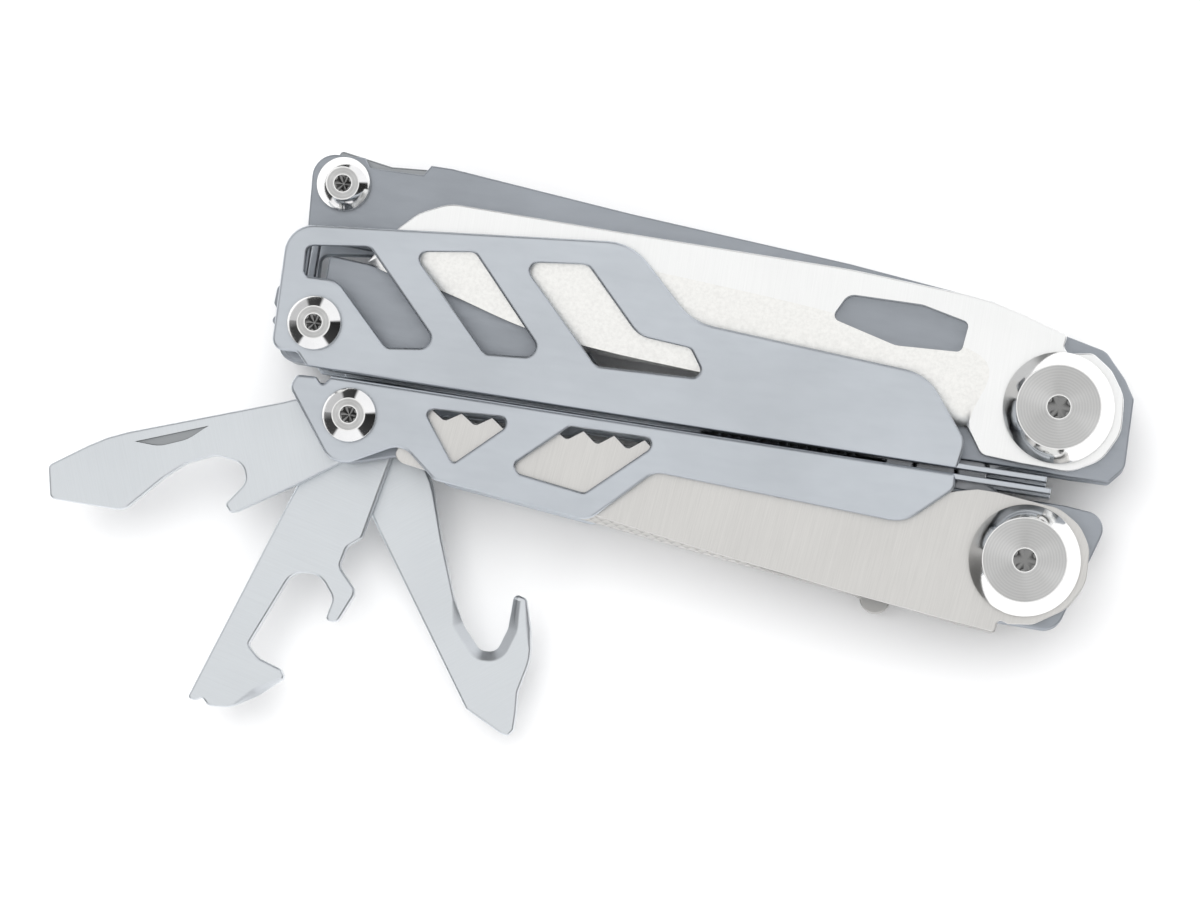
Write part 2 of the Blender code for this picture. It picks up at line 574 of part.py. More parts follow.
def make_stowed_tools():
    """Tools on the upper tool screw, stowed along the handle's top edge."""
    hole = circle((0.0, 0.0), SMALL_SLEEVE_R + CLEARANCE, 16)
    shapes = {
        "small_driver": ("tool_1", [
            (-1.4, 4.1, 0.3), (5.1, 3.4), (9.8, 4.0, 0.3), (10.2, 2.7), (28.0, 1.6, 3.0),
            (40.0, 1.4, 0.2), (40.0, -1.6, 0.2), (28.0, -2.4, 3.0), (10.0, -3.2),
        ]),
        "cross_driver": ("tool_2", [
            (3.0, 3.0), (30.0, 2.6, 4.0), (38.5, 1.9), (41.0, 0.5, 0.2), (41.0, -0.5, 0.2),
            (38.5, -1.9), (30.0, -2.6, 4.0), (10.0, -3.2),
        ]),
        "awl": ("tool_3", [
            (3.0, 3.0), (18.0, 2.8, 6.0), (41.0, 0.2, 0.1), (38.0, -2.6, 6.0), (10.0, -3.2),
        ]),
    }
    for name, (layer, corners) in shapes.items():
        outline = rounded(tool_hub(STOWED_HUB_R, 120, 280) + list(reversed(corners)))
        plate(name, [outline, hole], layer, "tool_steel", TOOL_SCREW_UPPER, STOWED_ANGLE, local=True)


def main():
    clear_scene()
    make_fasteners()
    make_handles()
    make_pliers()
    make_blades()
    make_fanned_tools()
    make_stowed_tools()


if __name__ == "__main__":
    main()
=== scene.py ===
"""Folding multi tool: the finished surfaces of every piece, and the studio around them.

Every sheet is an outline with rounded rims, every screw is a turned profile, and the ground
blades thin from a grind line to their edge. Outlines are in millimetres in the slit frame: X
runs along the slit between the folded handles to the main pivots, Y points to the upper handle.
"""
import json
import math

import bpy
import numpy as np
from mathutils import Matrix, Vector
from mathutils.geometry import delaunay_2d_cdt


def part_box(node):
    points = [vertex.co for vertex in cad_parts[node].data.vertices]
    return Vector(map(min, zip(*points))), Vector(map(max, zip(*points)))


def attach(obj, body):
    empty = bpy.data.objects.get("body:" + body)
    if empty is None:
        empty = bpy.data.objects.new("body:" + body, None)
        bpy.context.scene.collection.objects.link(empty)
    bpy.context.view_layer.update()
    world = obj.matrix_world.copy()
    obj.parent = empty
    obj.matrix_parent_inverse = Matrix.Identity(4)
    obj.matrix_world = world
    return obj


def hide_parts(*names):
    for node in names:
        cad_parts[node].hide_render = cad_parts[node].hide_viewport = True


bl_info = {
    "name": "Folding multi tool",
    "version": (1, 0, 0),
    "blender": (4, 5, 0),
    "location": "View3D > Sidebar > Multi tool",
    "description": "Builds the finished surfaces of a folding multi tool and its studio",
    "category": "Add Mesh",
}

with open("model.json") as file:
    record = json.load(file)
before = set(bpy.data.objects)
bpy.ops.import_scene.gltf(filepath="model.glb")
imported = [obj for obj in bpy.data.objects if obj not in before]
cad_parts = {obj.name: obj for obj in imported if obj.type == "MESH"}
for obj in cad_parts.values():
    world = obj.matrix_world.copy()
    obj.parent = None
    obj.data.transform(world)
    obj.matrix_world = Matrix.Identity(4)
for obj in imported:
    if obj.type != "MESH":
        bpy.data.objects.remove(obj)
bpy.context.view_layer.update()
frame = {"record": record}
BODY_OF = {node: body for body, nodes in frame["record"]["behaviour"]["bodies"].items()
           for node in nodes}

MM = 0.001
UPPER_PIVOT = (0.6, 9.4)       # in the slit frame, as every outline is
PLIER_PIVOT = (-13.0, 0.0)
RIM_STEPS = 5                  # rows of a rounded rim
SUPPORT = 0.03                 # flat border inside each rim, which keeps broad faces flat
SHEET = 1.1                    # thickness of covers and liners
CUTTER_RIM = 0.1               # rim of the shapes that are cut out of pieces
CORNER_STEP = 9.0              # degrees between points round an outline's corner
SMALLEST_CORNER = 0.45
STRAIGHT = math.radians(178.0)     # corners that open wider than this are left plain
MITRE_LIMIT = 0.35             # keeps the mitre of a very sharp corner short
FINE_STEPS = 24                # points on each span of a curved line, before it is evened out
CLEAR = 1.0                    # how far a cutter stands out of what it cuts
BEVEL_POWER = 0.9              # below 1, a ground face bulges a little
MOST_REACH = 0.49              # share of a side that one rounded corner may take up
SHARP = math.radians(34.0)     # edges that turn more than this are shaded as edges
GROUND_FADE = 0.25             # share of a ground chamfer's radius over which it fades out
STATIONS = 90                  # points along a blade's grind line
EDGE_FLAT = 0.12               # half the thickness of a blade's edge
TURNED_SIDES = 96
FILE_CUTS = (62.0, 118.0)      # directions of the file's two sets of cuts
FILE_CUTS_FADE = (0.018, 0.026)    # where the cuts fade out along world X, in metres


# ------------------------------------------------------------------ places from the frame

def box_mm(node):
    """Lowest and highest corners of a node in millimetres."""
    low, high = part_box(node)
    return np.array(low) / MM, np.array(high) / MM


def axis_of(node):
    """Where the axis of a round node stands, in world millimetres."""
    low, high = box_mm(node)
    return (low[:2] + high[:2]) / 2


def levels(node):
    """Lowest and highest height of a node in millimetres."""
    low, high = box_mm(node)
    return float(low[2]), float(high[2])


DATUM = axis_of("upper_pivot_screw") - np.array(UPPER_PIVOT)


def slit(node):
    """The axis of a round node, in the slit frame."""
    return axis_of(node) - DATUM


# ------------------------------------------------------------------ outlines

def arc(centre, radius, start, end, count=24):
    """Points at centre + radius (cos a, sin a), with a running evenly from start to end."""
    angle = np.radians(np.linspace(start, end, count))
    return np.array(centre) + radius * np.stack([np.cos(angle), np.sin(angle)], 1)


def ring(centre, radius, count=64):
    return arc(centre, radius, 0.0, 360.0, count + 1)[:-1]


def rounded(corners):
    """Outline through (x, y) or (x, y, radius) corners. A radius becomes a tangent arc."""
    points = []
    total = len(corners)
    for i, corner in enumerate(corners):
        here = np.array(corner[:2])
        before = np.array(corners[i - 1][:2]) - here
        after = np.array(corners[(i + 1) % total][:2]) - here
        cosine = before @ after / np.linalg.norm(before) / np.linalg.norm(after)
        opening = math.acos(np.clip(cosine, -1.0, 1.0))
        radius = max(corner[2], SMALLEST_CORNER) if len(corner) > 2 else 0.0
        if radius == 0.0 or opening > STRAIGHT:
            points.append(here[None])
            continue
        reach = min(radius / math.tan(opening / 2), MOST_REACH * np.linalg.norm(before),
                    MOST_REACH * np.linalg.norm(after))
        radius = reach * math.tan(opening / 2)
        one, two = before / np.linalg.norm(before), after / np.linalg.norm(after)
        middle = (one + two) / np.linalg.norm(one + two)
        centre = here + middle * radius / math.sin(opening / 2)
        first, last = here + one * reach - centre, here + two * reach - centre
        start = math.atan2(first[1], first[0])
        sweep = math.atan2(first[0] * last[1] - first[1] * last[0], first @ last)
        count = max(2, round(abs(math.degrees(sweep)) / CORNER_STEP)) + 1
        points.append(arc(centre, radius, math.degrees(start), math.degrees(start + sweep), count))
    return np.concatenate(points)


def curved(line, count):
    """Smooth line through its points: each span is a cubic whose slopes are the mean of the
    steps either side (Catmull-Rom), read at even shares of its length."""
    line = np.array(line, float)
    padded = np.concatenate([2 * line[:1] - line[1:2], line, 2 * line[-1:] - line[-2:-1]])
    spans = len(line) - 1
    share = np.linspace(0, spans, FINE_STEPS * spans + 1)
    k = np.minimum(share.astype(int), spans - 1)
    t = (share - k)[:, None]
    a, b, c, d = padded[k], padded[k + 1], padded[k + 2], padded[k + 3]
    fine = 0.5 * (2 * b + (c - a) * t + (2 * a - 5 * b + 4 * c - d) * t ** 2
                  + (3 * b - a - 3 * c + d) * t ** 3)
    length = np.concatenate([[0], np.cumsum(np.linalg.norm(np.diff(fine, axis=0), axis=1))])
    even = np.linspace(0, length[-1], count)
    return np.stack([np.interp(even, length, fine[:, 0]), np.interp(even, length, fine[:, 1])], 1)


def wound(loop, counter_clockwise):
    """The loop wound the way asked for, so that metal lies on its left."""
    x, y = loop[:, 0], loop[:, 1]
    area = np.sum(x * np.roll(y, -1) - y * np.roll(x, -1))
    return loop if (area > 0) == counter_clockwise else loop[::-1]


def mitres(loop):
    """At each point, the move that shifts both neighbouring edges one unit to their left."""
    edge = np.roll(loop, -1, 0) - loop
    edge = edge / np.linalg.norm(edge, axis=1, keepdims=True)
    left = np.stack([-edge[:, 1], edge[:, 0]], 1)
    before = np.roll(left, 1, 0)
    return (left + before) / np.clip(1 + np.sum(left * before, 1), MITRE_LIMIT, None)[:, None]


def inside(points, loops):
    """Even-odd test: a point is in the metal if a ray along +X crosses the loops oddly."""
    crossings = np.zeros(len(points), int)
    for loop in loops:
        a, b = loop, np.roll(loop, -1, 0)
        y = points[:, 1][:, None]
        spans = (a[:, 1] > y) != (b[:, 1] > y)
        rise = np.where(a[:, 1] == b[:, 1], 1.0, b[:, 1] - a[:, 1])
        x = a[:, 0] + (y - a[:, 1]) * (b[:, 0] - a[:, 0]) / rise
        crossings += np.sum(spans & (points[:, 0][:, None] < x), 1)
    return crossings % 2 == 1


def fill(loops):
    """Triangles that fill an outline and leave its holes open (constrained Delaunay)."""
    flat = np.concatenate(loops)
    edges, start = [], 0
    for loop in loops:
        i = np.arange(len(loop))
        edges.append(np.stack([i, (i + 1) % len(loop)], 1) + start)
        start += len(loop)
    made = delaunay_2d_cdt([Vector(p) for p in flat.tolist()],
                           np.concatenate(edges).tolist(), [], 0, 1e-7)
    crossings = [tuple(point) for point, source in zip(made[0], made[3]) if len(source) != 1]
    if crossings:
        raise RuntimeError(f"an outline crosses or touches itself at {crossings}")
    order = np.array([source[0] for source in made[3]])
    triangles = order[np.array(made[2])]
    triangles = triangles[inside(flat[triangles].mean(1), loops)]
    a, b, c = flat[triangles[:, 0]], flat[triangles[:, 1]], flat[triangles[:, 2]]
    turn = (b[:, 0] - a[:, 0]) * (c[:, 1] - a[:, 1]) - (b[:, 1] - a[:, 1]) * (c[:, 0] - a[:, 0])
    triangles[turn < 0] = triangles[turn < 0][:, ::-1]
    return triangles


# ------------------------------------------------------------------ solids

def turned_by(points, degrees):
    """Points turned round the origin in the plane of the sheet."""
    c, s = math.cos(math.radians(degrees)), math.sin(math.radians(degrees))
    turned = points.copy()
    turned[:, :2] = points[:, :2] @ np.array([[c, s], [-s, c]])
    return turned


def make_object(name, parts, materials):
    """One mesh from (points, groups of faces, material number of each face) parts, in mm."""
    points = np.concatenate([part[0] for part in parts]) * MM
    faces, slots, start = [], [], 0
    for verts, polygons, index in parts:
        for group in polygons:
            faces += (np.asarray(group) + start).tolist()
        slots += np.asarray(index).tolist()
        start += len(verts)
    mesh = bpy.data.meshes.new(name)
    mesh.from_pydata(points.tolist(), [], faces)
    for material in materials:
        mesh.materials.append(material)
    mesh.polygons.foreach_set("material_index", slots)
    mesh.shade_smooth()
    mesh.set_sharp_from_angle(angle=SHARP)
    mesh.update()
    piece = bpy.data.objects.new(name, mesh)
    bpy.context.scene.collection.objects.link(piece)
    return piece


class Solid:
    """Points and faces of a closed solid, gathered as bands of rings."""

    def __init__(self):
        self.points, self.faces, self.slots, self.bottoms, self.tops = [], [], [], [], []
        self.count = 0

    def band(self, rings, slots=None):
        """Rings of points one above the other, with quads between them. slots holds the
        material number of each quad, ring by ring, and is 0 for all if it isn't given."""
        size, steps = len(rings[0]), len(rings) - 1
        i = np.arange(size) + self.count
        j = np.roll(i, -1)
        self.faces += [np.stack([i, j, j + size, i + size], 1) + k * size for k in range(steps)]
        self.slots.append(np.zeros(steps * size, int) if slots is None else slots)
        self.points += rings
        self.bottoms.append(i)
        self.tops.append(i + steps * size)
        self.count += len(rings) * size

    def closed(self):
        """The part, with its highest rings filled, and its lowest."""
        points = np.concatenate(self.points)
        for ids, order in ((self.tops, 1), (self.bottoms, -1)):
            filled = np.concatenate(ids)[fill([points[i][:, :2] for i in ids])][:, ::order]
            self.faces.append(filled)
            self.slots.append(np.zeros(len(filled), int))
        return points, self.faces, np.concatenate(self.slots)


def rim_rows(low, high, edge, width, drop, ground=0.0):
    """Rows (inset, height) of a sheet's rim, from its underside to its top. The lower corner
    is a quarter circle of radius edge. The upper one is a quarter ellipse width across and
    drop deep, and where ground is 1 it's a straight chamfer. All three may differ from point
    to point."""
    turn = np.linspace(0, math.pi / 2, RIM_STEPS + 1)
    flat = np.ones_like(width)
    rows = [((edge + SUPPORT) * flat, low * flat)]
    rows += [(edge * (1 - math.sin(t)) * flat, (low + edge * (1 - math.cos(t))) * flat)
             for t in turn]
    for t in turn[::-1]:
        climb = 1 - t / turn[-1]
        across = (1 - ground) * (1 - math.sin(t)) + ground * climb
        down = (1 - ground) * (1 - math.cos(t)) + ground * (1 - climb)
        rows.append((width * across, high - drop * down))
    rows.append((width + SUPPORT, high * flat))
    return rows


def moved(loop, rows):
    """Rings of points: the loop moved along its mitres to each (inset, height)."""
    move = mitres(loop)
    return [np.column_stack([loop + move * inset[:, None], height]) for inset, height in rows]


def sheet_part(loops, low, high, edge, ground=(), place=None):
    """Closed sheet: each loop's rim is the outline moved inwards ring by ring, and the flats
    between the last rings are filled. ground lists (x, y, radius, width, drop): near that point
    the upper rim widens into a ground chamfer. place is where the sheet goes and its turn."""
    solid = Solid()
    for i, loop in enumerate(loops):
        loop = wound(loop, i == 0)
        width, drop = np.full(len(loop), edge), np.full(len(loop), edge)
        straight = np.zeros(len(loop))
        for x, y, radius, wide, deep in ground:
            share = np.linalg.norm(loop - (x, y), axis=1) / radius
            weight = np.clip((1.0 - share) / GROUND_FADE, 0.0, 1.0)
            width, drop = width + (wide - edge) * weight, drop + (deep - edge) * weight
            straight = np.maximum(straight, weight)
        solid.band(moved(loop, rim_rows(low, high, edge, width, drop, straight)))
    points, faces, slots = solid.closed()
    if place:
        points = turned_by(points, place[1])
        points[:, :2] += place[0]
    points[:, :2] += DATUM
    return points, faces, slots


def ground_part(back, grind, edge_line, holes, low, high, rim):
    """Blade: the flat body runs from its back to the grind line. From there each face is
    carried in straight rows to the edge, thinning from full thickness to an edge flat."""
    middle, half = (low + high) / 2, (high - low) / 2
    grind, edge_line = curved(grind, STATIONS), curved(edge_line, STATIONS)
    loop, target = np.concatenate([back, edge_line]), np.concatenate([back, grind])
    is_ground = np.arange(len(loop)) >= len(back)
    if wound(loop, True) is not loop:
        loop, target, is_ground = loop[::-1], target[::-1], is_ground[::-1]
    reach = np.linalg.norm(target[:, None] - grind[None], axis=2).min(1)
    width = np.minimum(rim, 0.3 * reach)    # the rim narrows where the body runs out
    move = mitres(target)
    turn = np.linspace(math.pi / 2, 0, RIM_STEPS + 1)
    insets = [*(1 - np.sin(turn)), 1 + SUPPORT / rim]
    falls = [*(1 - np.cos(turn)), 0.0]
    upper = []
    for k, (inset, fall) in enumerate(zip(insets, falls)):
        share = k / (RIM_STEPS + 1)
        body = target + move * (width * inset)[:, None]
        slope = loop + (target - loop) * share
        rise = middle + EDGE_FLAT + (half - EDGE_FLAT) * share ** BEVEL_POWER
        xy = np.where(is_ground[:, None], slope, body)
        upper.append(np.column_stack([xy, np.where(is_ground, rise, high - rim * fall)]))
    rings = [ring * (1, 1, -1) + (0, 0, 2 * middle) for ring in upper[::-1]] + upper
    solid = Solid()
    solid.band(rings, np.tile(is_ground & np.roll(is_ground, -1), len(rings) - 1).astype(int))
    for hole in holes:
        width = np.full(len(hole), rim)
        solid.band(moved(wound(hole, False), rim_rows(low, high, rim, width, width)))
    points, faces, slots = solid.closed()
    points[:, :2] += DATUM
    return points, faces, slots


def lathe_part(axis, profile, lobes=()):
    """Turned solid: profile rows (radius, height, material) carried round the axis. Rows
    numbered in lobes reach out by 1/7 of their radius six times a turn, as a six-lobe socket."""
    angle = np.linspace(0, 2 * math.pi, TURNED_SIDES, endpoint=False)
    rings = []
    for row, (radius, height, _) in enumerate(profile):
        reach = radius * (1 + (row in lobes) * np.cos(6 * angle) / 7)
        rings.append(np.column_stack([axis[0] + reach * np.cos(angle),
                                      axis[1] + reach * np.sin(angle),
                                      np.full(TURNED_SIDES, height)]))
    solid = Solid()
    slots = np.repeat([row[2] for row in profile[1:]], TURNED_SIDES)
    solid.band(rings, slots)
    ends = [solid.bottoms[0][None, ::-1], solid.tops[0][None]]
    return np.concatenate(rings), solid.faces + ends, [*slots, profile[0][2], profile[-1][2]]


def cut(piece, cutter):
    """Take the cutter's shape out of a piece for good, and remove the cutter."""
    modifier = piece.modifiers.new("cut", "BOOLEAN")
    modifier.operation, modifier.solver, modifier.object = "DIFFERENCE", "EXACT", cutter
    modifier.material_mode = "TRANSFER"
    bpy.context.view_layer.update()
    shape = piece.evaluated_get(bpy.context.evaluated_depsgraph_get())
    mesh = bpy.data.meshes.new_from_object(shape)
    mesh.name = piece.name
    piece.modifiers.clear()
    piece.data = mesh
    mesh.set_sharp_from_angle(angle=SHARP)
    bpy.data.objects.remove(cutter, do_unlink=True)


def stand_for(piece, node):
    """The piece moves with the node's body and is seen in its place."""
    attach(piece, BODY_OF[node])
    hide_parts(node)


# ------------------------------------------------------------------ finishes

class Tree:
    """Short calls for building the nodes of one material, or of the world."""

    def __init__(self, name, library="materials", places="Object"):
        self.owner = getattr(bpy.data, library).new(name)
        self.owner.use_nodes = True
        self.nodes, self.links = self.owner.node_tree.nodes, self.owner.node_tree.links
        self.coordinates = self.nodes.new("ShaderNodeTexCoord").outputs[places]

    def put(self, socket, value):
        """Link a socket to another one, or give it a value."""
        if isinstance(value, bpy.types.NodeSocket):
            self.links.new(value, socket)
        elif value is not None:
            socket.default_value = value

    def add(self, kind, settings=None, **inputs):
        node = self.nodes.new("ShaderNode" + kind)
        for name, value in (settings or {}).items():
            setattr(node, name, value)
        for name, value in inputs.items():
            self.put(node.inputs[name.replace("_", " ")], value)
        return node

    def maths(self, operation, *values):
        node = self.add("Math", {"operation": operation})
        for socket, value in zip(node.inputs, values):
            self.put(socket, value)
        return node.outputs[0]

    def mapped(self, centre=(0.0, 0.0), degrees=0.0, scale=(1.0, 1.0, 1.0)):
        """Object coordinates centred on a point in millimetres, turned and then stretched."""
        vector = self.coordinates
        for settings in ({"Location": (-centre[0] * MM, -centre[1] * MM, 0.0)},
                         {"Rotation": (0.0, 0.0, math.radians(-degrees))}, {"Scale": scale}):
            vector = self.add("Mapping", Vector=vector, **settings).outputs[0]
        return vector

    def noise(self, vector, scale, detail=3.0, roughness=0.55):
        return self.add("TexNoise", Vector=vector, Scale=scale, Detail=detail,
                        Roughness=roughness).outputs["Fac"]

    def between(self, factor, low, high, start=0.3, end=0.7, **settings):
        """Value that runs from low to high as the factor runs from start to end."""
        return self.add("MapRange", settings, Value=factor, From_Min=start, From_Max=end,
                        To_Min=low, To_Max=high).outputs[0]

    def ramp(self, factor, stops):
        """Colour that runs through (place, colour) stops with the factor."""
        node = self.add("ValToRGB", Fac=factor)
        elements = node.color_ramp.elements
        while len(elements) < len(stops):
            elements.new(0.5)
        for element, (place, colour) in zip(elements, stops):
            element.position, element.color = place, (*colour, 1.0)
        return node.outputs[0]

    def tint(self, factor, low, high, start=0.3, end=0.7):
        return self.ramp(factor, ((start, low), (end, high)))

    def bump(self, height, strength, depth, below=None):
        return self.add("Bump", Height=height, Strength=strength, Distance=depth * MM,
                        Normal=below).outputs[0]

    def finish(self, colour, roughness, normal=None, metallic=1.0, anisotropic=0.0):
        shader = self.nodes["Principled BSDF"]
        for name, value in (("Base Color", colour), ("Roughness", roughness),
                            ("Normal", normal), ("Metallic", metallic),
                            ("Anisotropic", anisotropic)):
            self.put(shader.inputs[name], value)
        return self.owner


def shaded(colour, share):
    return tuple(channel * share for channel in colour)


def blasted_steel(name, colour, roughness, speckle=1.0):
    """Satin blasted steel: fine dimples, faint clouds of tone and a few brighter rubs."""
    tree = Tree(name)
    grain = tree.noise(tree.coordinates, 5200.0, detail=2.0)
    cloud = tree.noise(tree.coordinates, 55.0, detail=4.0)
    tone = tree.tint(cloud, shaded(colour, 0.93), shaded(colour, 1.04))
    rub = tree.noise(tree.mapped(scale=(1.0, 5.0, 1.0)), 240.0, detail=6.0, roughness=0.7)
    rough = tree.between(rub, roughness + 0.05, roughness - 0.07, 0.35, 0.75)
    return tree.finish(tone, rough, tree.bump(grain, 0.22 * speckle, 0.02))


def brushed_steel(name, colour, roughness, degrees, strength=1.0, contrast=0.10):
    """Steel brushed along one direction: long thin strokes in tone and relief, and clouds of gloss.
    """
    tree = Tree(name)
    along = tree.mapped(degrees=degrees, scale=(1.0, 45.0, 45.0))
    strokes = tree.noise(along, 170.0, detail=7.0, roughness=0.7)
    cloud = tree.noise(tree.coordinates, 90.0, detail=3.0)
    stroke_tone = tree.tint(strokes, shaded(colour, 1.0 - contrast), shaded(colour, 1.03))
    rough = tree.between(cloud, roughness - 0.04, roughness + 0.06)
    return tree.finish(stroke_tone, rough, tree.bump(strokes, 0.25 * strength, 0.03))


def ground_steel(name, colour, roughness, degrees):
    """Ground bevel: mottled tone, with grinding marks across the blade."""
    tree = Tree(name)
    mottle = tree.noise(tree.coordinates, 2400.0, detail=5.0, roughness=0.65)
    along = tree.mapped(degrees=degrees, scale=(1.0, 30.0, 30.0))
    marks = tree.noise(along, 240.0, detail=5.0, roughness=0.65)
    tone = tree.tint(mottle, shaded(colour, 0.93), colour, 0.36, 0.62)
    rough = tree.between(mottle, roughness + 0.08, roughness - 0.05)
    relief = tree.bump(mottle, 0.12, 0.03, tree.bump(marks, 0.18, 0.03))
    return tree.finish(tone, rough, relief)


def turned_steel(name, colour, roughness, axis):
    """Faced in a lathe: fine rings round the screw's axis, which spread light in two fans."""
    tree = Tree(name)
    centred = tree.mapped(axis)
    rings = tree.add("TexWave", {"wave_type": "RINGS", "rings_direction": "Z"}, Vector=centred,
                     Scale=900.0, Distortion=1.5, Detail=3.0, Detail_Scale=3.0,
                     Detail_Roughness=0.7).outputs["Fac"]
    tone = tree.tint(rings, shaded(colour, 0.93), colour, 0.2, 0.8)
    return tree.finish(tone, roughness, tree.bump(rings, 0.08, 0.02), anisotropic=0.95)


def polished_steel(name, colour, roughness):
    tree = Tree(name)
    smear = tree.noise(tree.coordinates, 900.0, detail=3.0)
    return tree.finish(tree.tint(smear, shaded(colour, 0.96), colour),
                       tree.between(smear, roughness, roughness + 0.05))


def file_steel(name, colour, roughness):
    """Two sets of crossed cuts over the file's front, fading out before its tang."""
    tree = Tree(name)
    one, two = (tree.add("TexWave", {"wave_profile": "SAW"}, Scale=520.0,
                         Vector=tree.mapped(degrees=degrees)).outputs["Fac"]
                for degrees in FILE_CUTS)
    along = tree.add("SeparateXYZ", Vector=tree.coordinates).outputs["X"]
    cuts = tree.maths("MULTIPLY", tree.maths("ADD", one, two),
                      tree.between(along, 1.0, 0.0, *FILE_CUTS_FADE))
    tone = tree.tint(cuts, shaded(colour, 0.75), colour, 0.2, 1.0)
    return tree.finish(tone, roughness, tree.bump(cuts, 0.8, 0.12))


# ------------------------------------------------------------------ settings

def colour_setting(name, text, value):
    return bpy.props.FloatVectorProperty(name=name, description=text, subtype="COLOR", size=3,
                                         min=0.0, max=1.0, default=value)


def number_setting(name, text, value, low=0.0, high=10.0):
    return bpy.props.FloatProperty(name=name, description=text, default=value, min=low, max=high)


def angle_setting(name, text, degrees):
    return bpy.props.FloatProperty(name=name, description=text, default=math.radians(degrees),
                                   subtype="ANGLE", unit="ROTATION")


def share_setting(name, text, value):
    return number_setting(name, text, value, 0.0, 1.0)


class MultiToolRims(bpy.types.PropertyGroup):
    """Rounding of each kind of sheet, in millimetres."""
    cover: number_setting("Cover rim", "Radius of the covers' rims in mm", 0.42)
    liner: number_setting("Liner rim", "Radius of the liners' rims in mm", 0.25)
    blade: number_setting("Blade rim", "Radius along a blade's back in mm", 0.22)
    tool: number_setting("Tool rim", "Radius of the small tools' rims in mm", 0.35)
    saw: number_setting("Saw rim", "Radius round the saw's teeth in mm", 0.12)


class MultiToolSteel(bpy.types.PropertyGroup):
    """Colour and roughness of each finish."""
    cover: colour_setting("Cover", "Blasted steel of the covers", (0.585, 0.62, 0.66))
    # painted shade: the liner colour is the cover steel darkened for the shade the liners lie in
    # under the covers
    liner: colour_setting("Liner", "Darker steel of the liners", (0.375, 0.40, 0.435))
    blade: colour_setting("Blade", "Satin steel of the knife's flat", (0.95, 0.955, 0.95))
    bevel: colour_setting("Bevel", "Ground steel of the knife's bevel", (0.96, 0.955, 0.93))
    saw: colour_setting("Saw", "Brushed steel of the saw", (0.70, 0.69, 0.67))
    tool: colour_setting("Tool", "Steel of the small tools", (0.69, 0.72, 0.745))
    plier: colour_setting("Pliers", "Steel of the plier halves", (0.42, 0.43, 0.45))
    screw: colour_setting("Screw", "Steel of the screw heads", (0.90, 0.90, 0.89))
    cover_roughness: share_setting("Cover roughness", "Blasted covers", 0.40)
    liner_roughness: share_setting("Liner roughness", "Satin liners", 0.42)
    blade_roughness: share_setting("Blade roughness", "Knife's flat", 0.34)
    plier_roughness: share_setting("Plier roughness", "Forged plier halves", 0.36)
    saw_roughness: share_setting("Saw roughness", "Brushed saw", 0.36)
    tool_roughness: share_setting("Tool roughness", "Small tools", 0.34)
    turned_roughness: share_setting("Turned roughness", "Faced screw heads", 0.50)
    polish_roughness: share_setting("Polish roughness", "Polished chamfers", 0.07)


class MultiToolStudio(bpy.types.PropertyGroup):
    """Camera and light."""
    distance: bpy.props.FloatProperty(name="Camera distance", unit="LENGTH", default=0.70,
                                      description="From the camera to the point it looks at")
    lean_right: angle_setting("Lean right", "Camera's lean towards the main pivots", 4.0)
    lean_down: angle_setting("Lean down", "Camera's lean towards the lower handle", 3.0)
    roll: angle_setting("Roll", "How far the slit runs down to the right", 9.1)
    aim_x: number_setting("Aim X", "Point looked at, in mm along the slit", -53.4, -200, 200)
    aim_y: number_setting("Aim Y", "Point looked at, in mm across the slit", -4.1, -200, 200)
    view_width: number_setting("View width", "Width of the view at the tool in mm", 145.5, 10, 900)
    sky: number_setting("Studio light", "Strength of the white studio round the tool", 1.0)
    lamp: number_setting("Lamp power", "Power of the soft lamp overhead in watts", 4.0, 0, 100)


def steel():
    return bpy.context.scene.multi_tool_steel


def rims():
    return bpy.context.scene.multi_tool_rims


# ------------------------------------------------------------------ covers and liners

UPPER_COVER = [
    (-95.2, 17.2, 3.6), (-53.4, 21.3, 6.5), (-44.6, 12.9, 7.0), (-15.6, 11.0, 6.0),
    (-9.8, 3.6, 2.5), (-10.3, 0.3, 0.5), (-90.2, 0.4, 0.6), (-91.6, 1.9, 0.8), (-94.8, 1.7, 2.4),
]
UPPER_WINDOWS = [
    [(-92.4, 14.9, 0.9), (-84.9, 15.9, 1.2), (-74.5, 5.0, 1.2), (-81.0, 4.1, 1.2),
     (-88.2, 11.3, 3.0), (-92.2, 11.2, 0.6)],
    [(-79.6, 16.1, 1.0), (-72.1, 17.2, 1.2), (-61.6, 5.8, 1.2), (-69.0, 5.2, 1.2)],
    [(-66.3, 16.9, 1.1), (-58.3, 17.8, 1.5), (-50.9, 10.2, 3.5), (-44.4, 9.7, 1.2),
     (-42.0, 6.3, 0.9), (-55.4, 5.8, 1.5)],
]
LOWER_COVER = [
    (-91.2, -0.8, 0.8), (-91.8, -2.4, 1.2), (-85.0, -11.4, 3.0), (-77.2, -7.2, 2.5),
    (-72.6, -10.9, 1.5), (-53.4, -12.9, 2.5), (-46.3, -5.8, 2.5), (-15.6, -7.2, 4.5),
    (-10.2, -2.2, 1.2), (-10.4, -0.4, 0.5), (-87.0, -0.5, 0.5), (-87.9, -1.7, 0.5),
    (-88.8, -0.7, 0.5),
]
LOWER_WINDOWS = [
    [(-75.3, -2.5, 0.8), (-63.6, -1.9, 0.9), (-70.7, -8.6, 0.6)],
    [(-57.3, -1.9, 0.8), (-45.9, -1.8, 0.9), (-54.3, -9.6, 1.0), (-64.2, -8.3, 0.9)],
]
